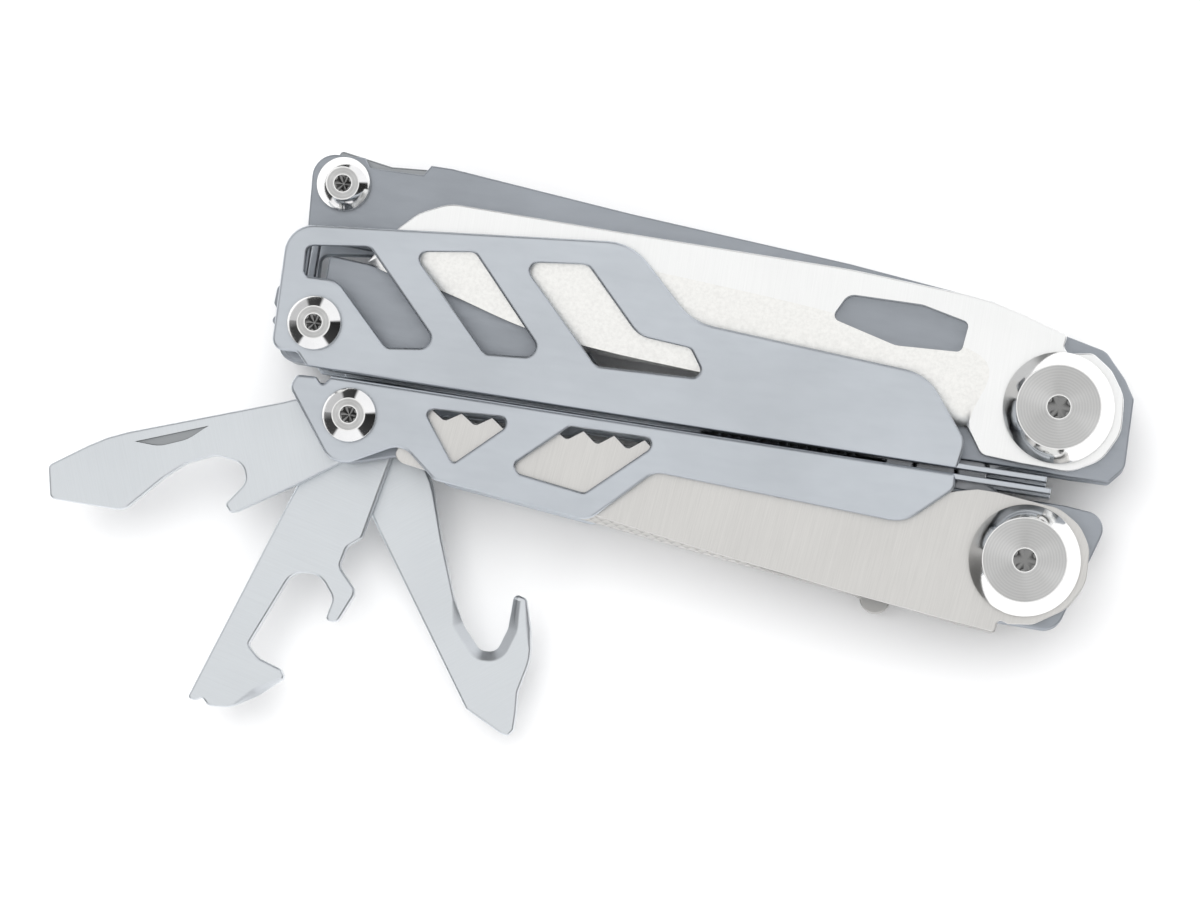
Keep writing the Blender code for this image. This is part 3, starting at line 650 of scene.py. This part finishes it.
UPPER_LINER = [
    (-93.9, 26.6, 2.8), (-87.6, 26.8), (-86.8, 25.7), (-80.2, 25.8), (-79.4, 27.1),
    (-76.8, 27.1), (-54.5, 25.0), (-27.1, 23.0), (-9.2, 21.1), (0.3, 18.3), (5.2, 17.2, 2.0),
    (8.0, 14.2, 1.0), (9.4, 12.0, 0.6), (9.6, 3.6, 1.8), (7.9, 1.6, 0.6), (3.5, 1.5),
    (-8.0, 1.6), (-88.0, 0.8), (-94.0, 1.2, 2.0), (-93.2, 17.4, 0.8),
]
LINER_SLOT = [
    (-92.4, 16.4, 0.5), (-80.0, 16.0, 0.5), (-80.0, 13.7, 0.5), (-90.0, 14.4, 0.5),
    (-90.0, 10.2, 0.5), (-92.4, 10.2, 0.5),
]
LOCK_SLOT = [
    (-59.2, 9.8, 0.8), (-57.6, 4.6, 1.0), (-16.0, 4.2, 0.9), (-16.0, 6.0, 0.9), (-42.0, 7.6, 6.0),
    (-52.0, 8.4, 6.0),
]
LOWER_LINER = [
    (-90.8, -1.1, 0.8), (-91.2, -2.6, 1.2), (-85.0, -10.9, 3.0), (-77.0, -8.4, 3.0),
    (-54.0, -11.5), (-20.0, -16.0), (-4.0, -17.1), (4.4, -17.2, 2.5), (8.8, -2.5, 2.6),
    (3.4, -2.0), (-8.0, -1.9), (-42.2, -1.6, 0.8), (-43.6, -4.4, 0.8), (-77.0, -4.4, 0.8),
    (-78.4, -1.3, 0.8), (-88.0, -1.2),
]
END_SPACER = [
    (-95.9, 10.2, 1.0), (-86.4, 10.2, 1.5), (-86.4, 0.9, 1.0), (-94.0, 0.9, 2.0),
    (-95.2, 4.6, 0.5), (-96.0, 5.6, 0.5), (-95.2, 6.6, 0.5), (-96.0, 7.6, 0.5),
]
SMALL_HOLE = 2.0
MAIN_HOLE = 2.9
FLANGE_FAR = 0.32
FLANGE_NEAR = 1.0
FLANGE_START = -87.0
FLANGE_ENDS = {"upper": 0.5, "lower": 1.2}
FLANGE_SETBACK = 0.25
FLANGE_RIM = 0.2


class MULTITOOL_OT_covers(bpy.types.Operator):
    """Four windowed covers: blasted sheets with broad rounded rims and a flange at the slit"""
    bl_idname = "multitool.covers"
    bl_label = "Covers"

    def execute(self, context):
        finish = blasted_steel("cover_steel", steel().cover, steel().cover_roughness)
        shapes = (("upper", 1, UPPER_COVER, UPPER_WINDOWS, "cover_screw"),
                  ("lower", -1, LOWER_COVER, LOWER_WINDOWS, "lower_tool_screw"))
        for handle, up, outline, windows, screw in shapes:
            loops = [rounded(outline)] + [rounded(window) for window in windows]
            loops.append(ring(slit(screw), SMALL_HOLE))
            for side in ("near", "far"):
                node = f"{handle}_cover_{side}"
                low, high = levels(node)
                sheet = (high - SHEET, high) if side == "near" else (low, low + SHEET)
                wall = ((low, high - FLANGE_SETBACK) if side == "near"
                        else (low + FLANGE_SETBACK, high))
                end = FLANGE_ENDS[handle]
                strip = np.array([(FLANGE_START, up * FLANGE_FAR), (end, up * FLANGE_FAR),
                                  (end, up * FLANGE_NEAR), (FLANGE_START, up * FLANGE_NEAR)])
                piece = make_object(node + "_sheet", [
                    sheet_part(loops, *sheet, rims().cover), sheet_part([strip], *wall, FLANGE_RIM),
                ], [finish])
                stand_for(piece, node)
        return {"FINISHED"}


class MULTITOOL_OT_liners(bpy.types.Operator):
    """Four liners and the end spacer, in the cover steel darkened as painted shade"""
    bl_idname = "multitool.liners"
    bl_label = "Liners"

    def execute(self, context):
        # painted shade: liners and end spacer take a darkened copy of the cover steel
        finish = blasted_steel("liner_steel", steel().liner, steel().liner_roughness, speckle=0.6)
        cover_hole, top_hole = slit("cover_screw"), slit("upper_tool_screw")
        upper = [rounded(UPPER_LINER), rounded(LINER_SLOT), rounded(LOCK_SLOT),
                 ring(top_hole, SMALL_HOLE), ring(cover_hole, SMALL_HOLE),
                 ring(slit("upper_pivot_screw"), MAIN_HOLE)]
        lower = [rounded(LOWER_LINER), ring(slit("lower_tool_screw"), SMALL_HOLE),
                 ring(slit("lower_pivot_screw"), MAIN_HOLE)]
        spacer = [rounded(END_SPACER), ring(cover_hole, SMALL_HOLE)]
        for node, loops in (("upper_liner_near", upper), ("upper_liner_far", upper),
                            ("lower_liner_near", lower), ("lower_liner_far", lower),
                            ("upper_end_spacer", spacer)):
            part = sheet_part(loops, *levels(node), rims().liner)
            stand_for(make_object(node + "_plate", [part], [finish]), node)
        return {"FINISHED"}


# ------------------------------------------------------------------ outer blades

KNIFE_TANG = [
    (-9.9, 5.4), (-9.3, 4.6, 0.8), (-7.8, 2.4, 1.5), (-2.9, 2.1, 6.0), (3.1, 2.0, 4.0),
    (6.7, 4.0, 4.0), (8.5, 7.6, 4.0), (8.2, 12.0, 4.0), (6.2, 14.9, 3.0), (3.7, 16.6, 1.2),
    (0.7, 16.1, 0.5), (0.1, 16.8, 0.5), (0.3, 18.3, 0.5),
]
KNIFE_SPINE = [(-9.2, 21.1, 30.0), (-26.9, 22.2, 60.0), (-54.1, 22.4, 60.0),
               (-76.1, 22.7, 5.0), (-79.7, 21.0, 5.0), (-82.1, 18.6, 6.0), (-84.2, 15.5)]
KNIFE_GRIND = [
    (-84.9, 14.1), (-81.9, 16.2), (-77.6, 18.6), (-66.0, 19.2), (-49.8, 18.3), (-28.5, 16.7),
    (-9.6, 14.2), (-9.8, 6.2),
]
KNIFE_EDGE = [
    (-84.9, 14.1), (-82.3, 13.2), (-75.3, 12.0), (-64.9, 9.2), (-55.0, 7.9), (-42.6, 7.1),
    (-25.0, 6.1), (-10.4, 5.5),
]
THUMB_OPENING = [
    (-28.2, 16.0, 0.8), (-26.6, 19.2, 1.6), (-17.5, 19.3, 3.0), (-11.6, 18.0, 0.8),
    (-12.0, 14.3, 0.8), (-20.0, 13.9, 3.0),
]
SECOND_SPINE = [(-9.2, 21.1, 30.0), (-26.9, 22.2, 60.0), (-54.1, 22.0, 60.0),
                (-70.0, 20.0, 20.0), (-77.5, 15.6)]
SECOND_GRIND = [(-79.0, 9.6), (-72.0, 13.4), (-40.0, 14.2), (-10.0, 13.4), (-9.8, 6.2)]
SECOND_EDGE = [(-79.0, 9.6), (-60.0, 8.2), (-40.0, 7.4), (-10.4, 5.5)]


class MULTITOOL_OT_blades(bpy.types.Operator):
    """Knife and second blade: satin flats, ground bevels and the knife's thumb opening"""
    bl_idname = "multitool.blades"
    bl_label = "Blades"

    def execute(self, context):
        flat = brushed_steel("blade_steel", steel().blade, steel().blade_roughness, 90.0,
                             strength=0.4, contrast=0.03)
        bevel = ground_steel("bevel_steel", steel().bevel, steel().blade_roughness, 80.0)
        hole = ring(slit("upper_pivot_screw"), MAIN_HOLE)
        shapes = (("knife_blade", KNIFE_SPINE, KNIFE_GRIND, KNIFE_EDGE),
                  ("second_blade", SECOND_SPINE, SECOND_GRIND, SECOND_EDGE))
        for node, spine, grind, edge in shapes:
            back = rounded(KNIFE_TANG + spine)
            part = ground_part(back, grind, edge, [hole], *levels(node), rims().blade)
            piece = make_object(node + "_ground", [part], [flat, bevel])
            if node == "knife_blade":
                low, high = levels(node)
                opening = sheet_part([rounded(THUMB_OPENING)], low - CLEAR, high + CLEAR,
                                     CUTTER_RIM)
                cut(piece, make_object("thumb_cutter", [opening], [flat]))
            stand_for(piece, node)
        return {"FINISHED"}


LOWER_TANG = [
    (-5.2, -1.7), (2.6, -2.5, 4.0), (5.3, -4.2, 4.0), (6.9, -6.6, 4.0), (7.1, -11.0, 4.0),
    (5.2, -14.4, 4.0), (1.6, -16.8, 2.0), (-1.4, -17.2, 0.5), (-2.7, -16.8, 0.5),
    (-2.9, -18.4, 0.5), (-8.2, -17.9),
]
SAW_OUTLINE = [
    (-7.5, -1.7), *LOWER_TANG, (-20.0, -16.6), (-39.8, -14.0), (-52.4, -12.1), (-73.6, -9.9),
    (-77.1, -9.4, 1.2), (-78.0, -8.6, 1.2), (-77.0, -5.6, 2.0), (-75.6, -4.2),
]
SAW_FIRST_TIP = (-74.4, -2.3)
SAW_LAST_TIP = (-14.4, -1.65)
SAW_TEETH = 17
SAW_PITCH = 3.75
GULLET_DEPTHS = (1.1, 1.6)     # at the point and at the tang
FILE_FRONT = [(-21.0, -16.4), (-39.9, -14.3), (-70.0, -10.6, 2.0), (-74.0, -8.6, 1.5),
              (-74.0, -4.2, 1.0), (-72.0, -2.6, 1.0)]
THUMB_BUMP = (-18.0, -16.4)
THUMB_BUMP_R = 1.9


def saw_teeth():
    """Teeth at even steps along the slit side: a tip, then a gullet with a flat bottom."""
    tip = np.linspace(SAW_FIRST_TIP, SAW_LAST_TIP, SAW_TEETH)
    steps = np.array([(0.0, 0.0), (0.36, -0.86), (0.44, -1.0), (0.54, -1.0), (0.66, -0.74)])
    depth = np.linspace(*GULLET_DEPTHS, SAW_TEETH)
    scale = np.column_stack([np.full(SAW_TEETH, SAW_PITCH), depth])
    return (tip[:, None] + steps[None] * scale[:, None]).reshape(-1, 2)


class MULTITOOL_OT_saw_and_file(bpy.types.Operator):
    """Saw with its teeth, and the file with its thumb bump"""
    bl_idname = "multitool.saw_and_file"
    bl_label = "Saw and file"

    def execute(self, context):
        hole = ring(slit("lower_pivot_screw"), MAIN_HOLE)
        saw_finish = brushed_steel("saw_steel", steel().saw, steel().saw_roughness, 84.0,
                                   strength=0.8, contrast=0.09)
        saw = rounded([*SAW_OUTLINE, *saw_teeth()])
        part = sheet_part([saw, hole], *levels("saw_blade"), rims().saw)
        stand_for(make_object("saw_blade_cut", [part], [saw_finish]), "saw_blade")
        file_finish = file_steel("file_steel", steel().saw, steel().saw_roughness)
        outline = rounded([(-9.0, -2.4, 1.0), *LOWER_TANG,
                           *arc(THUMB_BUMP, THUMB_BUMP_R, 350, 190, 20), *FILE_FRONT])
        part = sheet_part([outline, hole], *levels("file_blade"), rims().blade)
        stand_for(make_object("file_blade_cut", [part], [file_finish]), "file_blade")
        return {"FINISHED"}


# ------------------------------------------------------------------ fanned and stowed tools

DRIVER = [
    (8.1, -3.7, 6.0), (30.2, -4.1, 20.0), (38.1, -2.1, 0.8), (38.7, 2.0, 0.8), (30.1, 5.3, 2.0),
    (24.5, 2.4, 6.0), (21.3, 1.2, 3.0), (17.6, 1.0, 2.5), (14.5, 2.7, 1.8), (14.6, 5.0, 1.6),
    (17.7, 7.1, 0.5), (17.3, 8.3, 0.5), (16.3, 8.3, 0.5), (8.6, 6.6, 8.0), (2.6, 5.0, 3.0),
]
CAN_OPENER = [
    (10.4, -3.6, 8.0), (39.6, -6.0, 0.5), (39.5, -5.0, 0.5), (38.8, -4.3, 0.5), (39.5, -3.2, 1.0),
    (38.6, -0.6, 3.0), (35.9, 2.0, 5.0), (32.7, 4.2, 0.5), (31.9, 3.3, 0.5), (31.7, 0.2, 2.0),
    (30.7, -1.6, 0.8), (20.4, 0.0, 2.2), (19.3, 3.2, 2.5), (21.4, 5.9, 1.5), (24.3, 6.0, 0.5),
    (24.0, 7.5, 0.9), (19.6, 8.2, 1.2), (17.6, 5.1, 1.2), (15.0, 5.0, 1.2), (13.2, 6.3, 0.8),
    (2.2, 5.8, 3.0),
]
CORD_HOOK = [
    (12.3, -4.0, 10.0), (37.7, -4.5, 0.6), (42.3, -2.1, 0.5), (43.0, -1.5, 0.5), (42.7, -0.5, 0.5),
    (40.9, 0.8, 2.0), (38.8, 2.1, 1.5), (35.9, 5.4, 6.0), (32.6, 7.1, 6.0), (29.1, 8.3, 0.7),
    (27.8, 7.3, 0.6), (31.3, 4.6, 2.5), (33.2, 2.0, 1.4), (32.1, 0.3, 1.2), (28.4, -0.1, 4.0),
    (25.0, 0.4, 6.0), (17.7, 2.4), (11.0, 4.6, 10.0), (1.3, 5.0, 3.0),
]
NICK_DEPTH = 0.5
NICK_RIM = 0.15
# painted shade: the nick's recess is darkened to stand for the shade inside it
NICK_PAINTED_SHADE = 0.5        # its colour as a share of the tool's
NAIL_NICK = [(27.0, -2.7), (24.2, -1.5, 4.0), (20.6, -1.6, 4.0), (17.7, -2.7)]
FANNED = (      # node, outline, turn, where the hub's arc runs, ground chamfers
    ("flat_driver", DRIVER, 200.8, (100, 240), ()),
    ("can_opener", CAN_OPENER, 256.4, (130, 250), ((35.9, 2.4, 3.4, 1.1, 0.7),)),
    ("cord_hook", CORD_HOOK, 306.4, (120, 250), ((30.3, 2.6, 5.6, 1.3, 0.8),)),
)
FANNED_HUB = 4.4
STOWED_HUB = 3.4
STOWED_HUB_ARC = (120, 280)
STOWED_ANGLE = -3.0
# painted shade: the stowed tools are the fanned tools' steel darkened for the shade inside the
# upper handle
STOWED_PAINTED_SHADE = 0.55     # colour as a share of the fanned tools'
STOWED_RIM = 0.3
STOWED = {
    "small_driver": [
        (-1.4, 4.1, 0.5), (5.1, 3.4), (9.8, 4.0, 0.5), (10.2, 2.7), (28.0, 1.6, 3.0),
        (40.0, 1.4, 0.5), (40.0, -1.6, 0.5), (28.0, -2.4, 3.0), (10.0, -3.2),
    ],
    "cross_driver": [
        (3.0, 3.0), (30.0, 2.6, 4.0), (38.5, 1.9), (41.0, 0.5, 0.5), (41.0, -0.5, 0.5),
        (38.5, -1.9), (30.0, -2.6, 4.0), (10.0, -3.2),
    ],
    "awl": [
        (3.0, 3.0), (18.0, 2.8, 6.0), (41.0, 0.2, 0.5), (38.0, -2.6, 6.0), (10.0, -3.2),
    ],
}


class MULTITOOL_OT_fanned_tools(bpy.types.Operator):
    """Flat driver with its nail nick, can opener and cord hook, fanned out of the lower handle"""
    bl_idname = "multitool.fanned_tools"
    bl_label = "Fanned tools"

    def execute(self, context):
        pivot = slit("lower_tool_screw")
        hole = ring((0.0, 0.0), SMALL_HOLE)
        for node, corners, degrees, hub, ground in FANNED:
            finish = brushed_steel(node + "_steel", steel().tool, steel().tool_roughness,
                                   degrees + 90.0, strength=0.35, contrast=0.03)
            low, high = levels(node)
            outline = rounded([*arc((0.0, 0.0), FANNED_HUB, *hub), *corners])
            part = sheet_part([outline, hole], low, high, rims().tool, ground,
                              place=(pivot, degrees))
            piece = make_object(node + "_blank", [part], [finish])
            if node == "flat_driver":
                # painted shade: the nick's cut faces take this darker copy of the tool steel
                shade = brushed_steel("nick_painted_shade_steel", shaded(steel().tool, NICK_PAINTED_SHADE),
                                      steel().tool_roughness, degrees, strength=0.35,
                                      contrast=0.03)
                nick = sheet_part([rounded(NAIL_NICK)], high - NICK_DEPTH, high + CLEAR,
                                  NICK_RIM, place=(pivot, degrees))
                cut(piece, make_object("nick_cutter", [nick], [shade]))
            stand_for(piece, node)
        return {"FINISHED"}


class MULTITOOL_OT_stowed_tools(bpy.types.Operator):
    """Small driver, cross driver and awl, stowed in the upper handle, in the tool steel darkened as
    painted shade
    """
    bl_idname = "multitool.stowed_tools"
    bl_label = "Stowed tools"

    def execute(self, context):
        pivot = slit("upper_tool_screw")
        hole = ring((0.0, 0.0), SMALL_HOLE)
        # painted shade: a darker copy of the tool steel for the tools inside the handle
        finish = brushed_steel("stowed_painted_shade_steel", shaded(steel().tool, STOWED_PAINTED_SHADE),
                               steel().tool_roughness, STOWED_ANGLE, strength=0.5)
        for node, corners in STOWED.items():
            outline = rounded([*arc((0.0, 0.0), STOWED_HUB, *STOWED_HUB_ARC), *corners[::-1]])
            part = sheet_part([outline, hole], *levels(node), STOWED_RIM,
                              place=(pivot, STOWED_ANGLE))
            stand_for(make_object(node + "_blank", [part], [finish]), node)
        return {"FINISHED"}


# ------------------------------------------------------------------ pliers

DISC_R = 6.2
LAP_R = 6.6
PIN_R = 2.4
PIN_HOLE = 2.7
PLIER_HUB_R = 6.0
JAW_TEETH = 15
JAW_TOOTH = 0.45
JAW_GAP = 0.15                      # half the gap between the closed jaws
JAW_GRIP = (-40.5, -22.5)           # where the teeth start and end
JAW_BACK = [(-21.0, -5.4), (-30.0, -4.4), (-41.4, -2.0)]
LAP_GAP = 0.15      # half the gap between the two halves where they lap
PLIER_RIM = 0.35
PIN_END = ((0.4, 0.0), (0.12, 0.1), (0.0, 0.4))     # how far in and how far up, at either end


def plier_outline(hub, side):
    """Hub and tang on one side of the slit and a toothed jaw on the other."""
    grip = np.full((2 * JAW_TEETH + 1, 2), -JAW_GAP)
    grip[:, 0] = np.linspace(*JAW_GRIP, len(grip))
    grip[1::2, 1] -= JAW_TOOTH
    hub = (hub[0], hub[1] * side)
    outline = np.concatenate([
        [(-42.0, -JAW_GAP)], grip, [(-19.15, -JAW_GAP)], arc(PLIER_PIVOT, DISC_R, 180, 105, 16),
        arc(hub, PLIER_HUB_R, 130, -100, 40), [(-6.9, 0.4)],
        arc(PLIER_PIVOT, DISC_R, 0, -145, 30), JAW_BACK,
    ])
    return outline * (1, side), np.array(hub) * (1, side)


class MULTITOOL_OT_pliers(bpy.types.Operator):
    """Two plier halves that lap at their pin"""
    bl_idname = "multitool.pliers"
    bl_label = "Pliers"

    def execute(self, context):
        finish = blasted_steel("plier_steel", steel().plier, steel().plier_roughness,
                               speckle=0.8)
        for handle, side in (("upper", 1), ("lower", -1)):
            node = "plier_half_" + handle
            low, high = levels(node)
            middle = (low + high) / 2
            outline, hub = plier_outline(slit(handle + "_pivot_screw"), side)
            loops = [outline, ring(PLIER_PIVOT, PIN_HOLE), ring(hub, MAIN_HOLE)]
            part = sheet_part(loops, low, high, PLIER_RIM)
            piece = make_object(node + "_forged", [part], [finish])
            span = ((middle - LAP_GAP, high + CLEAR) if side == 1
                    else (low - CLEAR, middle + LAP_GAP))
            lap = sheet_part([ring(PLIER_PIVOT, LAP_R, 96)], *span, CUTTER_RIM)
            cut(piece, make_object("lap_cutter", [lap], [finish]))
            stand_for(piece, node)
        low, high = levels("plier_pivot_pin")
        axis = np.array(PLIER_PIVOT) + DATUM
        rows = [(PIN_R - inward, low + up, 0) for inward, up in PIN_END]
        rows += [(PIN_R - inward, high - up, 0) for inward, up in PIN_END[::-1]]
        pin = lathe_part(axis, rows)
        stand_for(make_object("plier_pin_turned", [pin], [finish]), "plier_pivot_pin")
        return {"FINISHED"}


# ------------------------------------------------------------------ screws

MAIN_SIZES = (6.75, 5.1, 2.6, 1.3)      # radii of the head, its flat, the sleeve and the socket
SMALL_SIZES = (3.3, 2.0, 1.7, 0.95)
SCREWS = {"upper_pivot": MAIN_SIZES, "lower_pivot": MAIN_SIZES, "cover": SMALL_SIZES,
          "lower_tool": SMALL_SIZES, "upper_tool": SMALL_SIZES}
SLEEVE_WALL = 0.8
PLAY = 0.3              # gap between pieces that touch or run on each other
# painted shade: the socket is the head's steel darkened to stand for the shade in the recess
SOCKET_PAINTED_SHADE = 0.28     # the socket's colour as a share of the head's
WALL_SHARE = 0.35       # share of a head's height below its chamfer
RECESS_DEPTH = 0.7
RECESS_CONE = 0.5
RECESS_FOOT = 0.15      # radius at the socket's bottom as a share of the socket's
SOFT = 0.09             # how far each turned corner is broken


def head_rows(head_r, flat_r, recess_r, seat, top):
    """Rows from the head's seat up its wall and chamfer, over its flat and into its socket."""
    up = 1.0 if top > seat else -1.0    # far heads are turned upside down
    rim = seat + WALL_SHARE * (top - seat)
    run, rise = head_r - flat_r, top - rim
    slope = math.hypot(run, rise)
    in_x, in_z = SOFT * run / slope, SOFT * rise / slope
    return [
        (head_r, seat + up * SOFT, 1), (head_r, rim - up * SOFT, 1), (head_r - in_x, rim + in_z, 1),
        (flat_r + in_x, top - in_z, 1), (flat_r + 0.3 * SOFT, top - up * 0.1 * SOFT, 1),
        (flat_r - SOFT, top, 1), (flat_r - 2 * SOFT, top, 0),
        (recess_r + 2.4 * SOFT, top, 0), (recess_r + SOFT, top - up * 0.3 * SOFT, 1),
        (recess_r, top - up * SOFT, 2), (recess_r, top - up * RECESS_DEPTH, 2),
        (RECESS_FOOT * recess_r, top - up * (RECESS_DEPTH + RECESS_CONE), 2),
    ]


class MULTITOOL_OT_fasteners(bpy.types.Operator):
    """Five screws and five barrels, with turned faces, polished chamfers and six-lobe sockets"""
    bl_idname = "multitool.fasteners"
    bl_label = "Screws and barrels"

    def execute(self, context):
        polish = polished_steel("polished_steel", steel().screw, steel().polish_roughness)
        # painted shade: the socket rows take a darker copy of the screw steel
        socket = polished_steel("socket_painted_shade_steel", shaded(steel().screw, SOCKET_PAINTED_SHADE), 0.25)
        for prefix, (head_r, flat_r, sleeve_r, recess_r) in SCREWS.items():
            screw, barrel = prefix + "_screw", prefix + "_barrel"
            axis = axis_of(screw)
            face = turned_steel(prefix + "_turned_steel", shaded(steel().screw, 0.9),
                                steel().turned_roughness, axis)
            shank_end, near_top = levels(screw)
            far_bottom, sleeve_end = levels(barrel)
            near_seat, far_seat = sleeve_end + PLAY, 2 * shank_end - sleeve_end - PLAY
            bore_r = sleeve_r - SLEEVE_WALL
            shank_r = bore_r - PLAY
            rows = [(shank_r, shank_end, 1), (shank_r, near_seat, 1), (head_r, near_seat, 1)]
            rows += head_rows(head_r, flat_r, recess_r, near_seat, near_top)
            lobes = (len(rows) - 3, len(rows) - 2)
            materials = [face, polish, socket]
            piece = make_object(screw + "_turned", [lathe_part(axis, rows, lobes)], materials)
            stand_for(piece, screw)
            rows = head_rows(head_r, flat_r, recess_r, far_seat, far_bottom)[::-1]
            rows += [(head_r, far_seat, 1), (sleeve_r, far_seat, 1), (sleeve_r, sleeve_end, 1),
                     (bore_r, sleeve_end, 1), (bore_r, shank_end - PLAY, 1)]
            piece = make_object(barrel + "_turned", [lathe_part(axis, rows, (1, 2))], materials)
            stand_for(piece, barrel)
        return {"FINISHED"}


# ------------------------------------------------------------------ studio

# Brightness of the room round the tool near the horizon, by direction in degrees from +X.
ROOM = [
    (-180.0, 0.30), (-162.0, 0.05), (-128.0, 0.06), (-122.0, 1.00), (-54.0, 1.05), (-48.0, 0.05),
    (14.0, 0.02), (20.0, 1.05), (82.0, 1.00), (88.0, 0.04), (118.0, 0.06), (124.0, 0.62),
    (180.0, 0.62),
]
OVERHEAD = (0.58, 0.78)     # sine of the height over which the horizon turns white
MATT_EXTRA = 0.3            # share of the studio's light that matt surfaces get on top
FLOOR = np.array([(-1.6, -1.6), (1.6, -1.6), (1.6, 1.6), (-1.6, 1.6)])
FLOOR_DROP = 0.0002
LAMP_PLACE = Vector((-0.15, 0.25, 0.9))
LAMP_SIZE = 0.7
AIM_HEIGHT = 0.016


def studio_world(strength):
    """White studio: bright overhead and behind everything, and by turns bright and dark round
    the horizon. Matt surfaces get more light from it than polished ones reflect, which keeps
    the shadows pale."""
    tree = Tree("studio", "worlds", "Generated")
    split = tree.add("SeparateXYZ", Vector=tree.coordinates).outputs
    rays = tree.add("LightPath").outputs
    around = tree.between(tree.maths("ARCTAN2", split["Y"], split["X"]), 0.0, 1.0,
                          -math.pi, math.pi)
    horizon = tree.ramp(around, [((degrees + 180.0) / 360.0, (value, value, value * 1.02))
                                 for degrees, value in ROOM])
    height = tree.between(split["Z"], 0.0, 1.0, *OVERHEAD, interpolation_type="SMOOTHSTEP")
    mix = tree.add("Mix", {"data_type": "RGBA"},
                   Factor=tree.maths("MAXIMUM", height, rays["Is Camera Ray"]))
    tree.put(mix.inputs[6], horizon)
    tree.put(mix.inputs[7], (1.0, 1.0, 1.0, 1.0))
    background = tree.nodes["Background"].inputs
    tree.put(background["Color"], mix.outputs[2])
    tree.put(background["Strength"], tree.maths("MULTIPLY_ADD", rays["Is Diffuse Ray"],
                                                MATT_EXTRA * strength, strength))
    bpy.context.scene.world = tree.owner


class MULTITOOL_OT_stage(bpy.types.Operator):
    """Pale floor, soft studio light and the camera"""
    bl_idname = "multitool.stage"
    bl_label = "Stage"

    def execute(self, context):
        scene = context.scene
        studio = scene.multi_tool_studio
        scene.view_settings.view_transform = "Standard"
        mesh = bpy.data.meshes.new("floor")
        mesh.from_pydata([(x, y, -FLOOR_DROP) for x, y in FLOOR], [], [(0, 1, 2, 3)])
        paper = Tree("floor_paper")
        cloud = paper.noise(paper.coordinates, 4.0, detail=2.0)
        mesh.materials.append(paper.finish(
            paper.tint(cloud, (0.93, 0.93, 0.93), (0.95, 0.95, 0.95)), 0.9, metallic=0.0))
        floor = bpy.data.objects.new("floor", mesh)
        scene.collection.objects.link(floor)
        studio_world(studio.sky)
        lamp_data = bpy.data.lights.new("overhead_lamp", "AREA")
        lamp_data.shape, lamp_data.size, lamp_data.energy = "DISK", LAMP_SIZE, studio.lamp
        lamp = bpy.data.objects.new("overhead_lamp", lamp_data)
        lamp.location = LAMP_PLACE
        lamp.visible_glossy = False
        lamp.rotation_euler = (-LAMP_PLACE).to_track_quat("-Z", "Y").to_euler()
        scene.collection.objects.link(lamp)
        self.camera(scene, studio)
        return {"FINISHED"}

    @staticmethod
    def camera(scene, studio):
        """The camera leans right and down from straight overhead, and rolls with the slit."""
        data = bpy.data.cameras.new("camera")
        aim = Vector(((studio.aim_x + DATUM[0]) * MM, (studio.aim_y + DATUM[1]) * MM, AIM_HEIGHT))
        c, s = math.cos(studio.roll), math.sin(studio.roll)
        right, up = Vector((c, s, 0.0)), Vector((-s, c, 0.0))
        back = (Vector((0.0, 0.0, 1.0)) + right * math.tan(studio.lean_right)
                - up * math.tan(studio.lean_down)).normalized()
        level_up = (up - back * up.dot(back)).normalized()
        side = level_up.cross(back)
        camera = bpy.data.objects.new("camera", data)
        place = Matrix((side, level_up, back)).transposed().to_4x4()
        place.translation = aim + back * studio.distance
        camera.matrix_world = place
        data.lens = data.sensor_width * studio.distance / (studio.view_width * MM)
        data.clip_start = 0.01
        scene.collection.objects.link(camera)
        scene.camera = camera


class MULTITOOL_PT_panel(bpy.types.Panel):
    """Lists every step"""
    bl_label = "Multi tool"
    bl_idname = "MULTITOOL_PT_panel"
    bl_space_type = "VIEW_3D"
    bl_region_type = "UI"
    bl_category = "Multi tool"

    def draw(self, context):
        for operator in OPERATORS:
            self.layout.operator(operator.bl_idname)
        for group in (context.scene.multi_tool_rims, context.scene.multi_tool_steel,
                      context.scene.multi_tool_studio):
            box = self.layout.box()
            for name in group.__annotations__:
                box.prop(group, name)


OPERATORS = (
    MULTITOOL_OT_covers, MULTITOOL_OT_liners, MULTITOOL_OT_blades, MULTITOOL_OT_saw_and_file,
    MULTITOOL_OT_fanned_tools, MULTITOOL_OT_stowed_tools, MULTITOOL_OT_pliers,
    MULTITOOL_OT_fasteners, MULTITOOL_OT_stage,
)
GROUPS = (("multi_tool_rims", MultiToolRims), ("multi_tool_steel", MultiToolSteel),
          ("multi_tool_studio", MultiToolStudio))


def register():
    for name, group in GROUPS:
        bpy.utils.register_class(group)
        setattr(bpy.types.Scene, name, bpy.props.PointerProperty(type=group))
    for member in OPERATORS + (MULTITOOL_PT_panel,):
        bpy.utils.register_class(member)


def unregister():
    for member in reversed(OPERATORS + (MULTITOOL_PT_panel,)):
        bpy.utils.unregister_class(member)
    for name, group in reversed(GROUPS):
        delattr(bpy.types.Scene, name)
        bpy.utils.unregister_class(group)


def main():
    register()
    for operator in OPERATORS:
        step = getattr(bpy.ops.multitool, operator.bl_idname.split(".")[1])
        if step() != {"FINISHED"}:
            raise RuntimeError(operator.bl_label + " didn't finish")


if __name__ == "__main__":
    main()
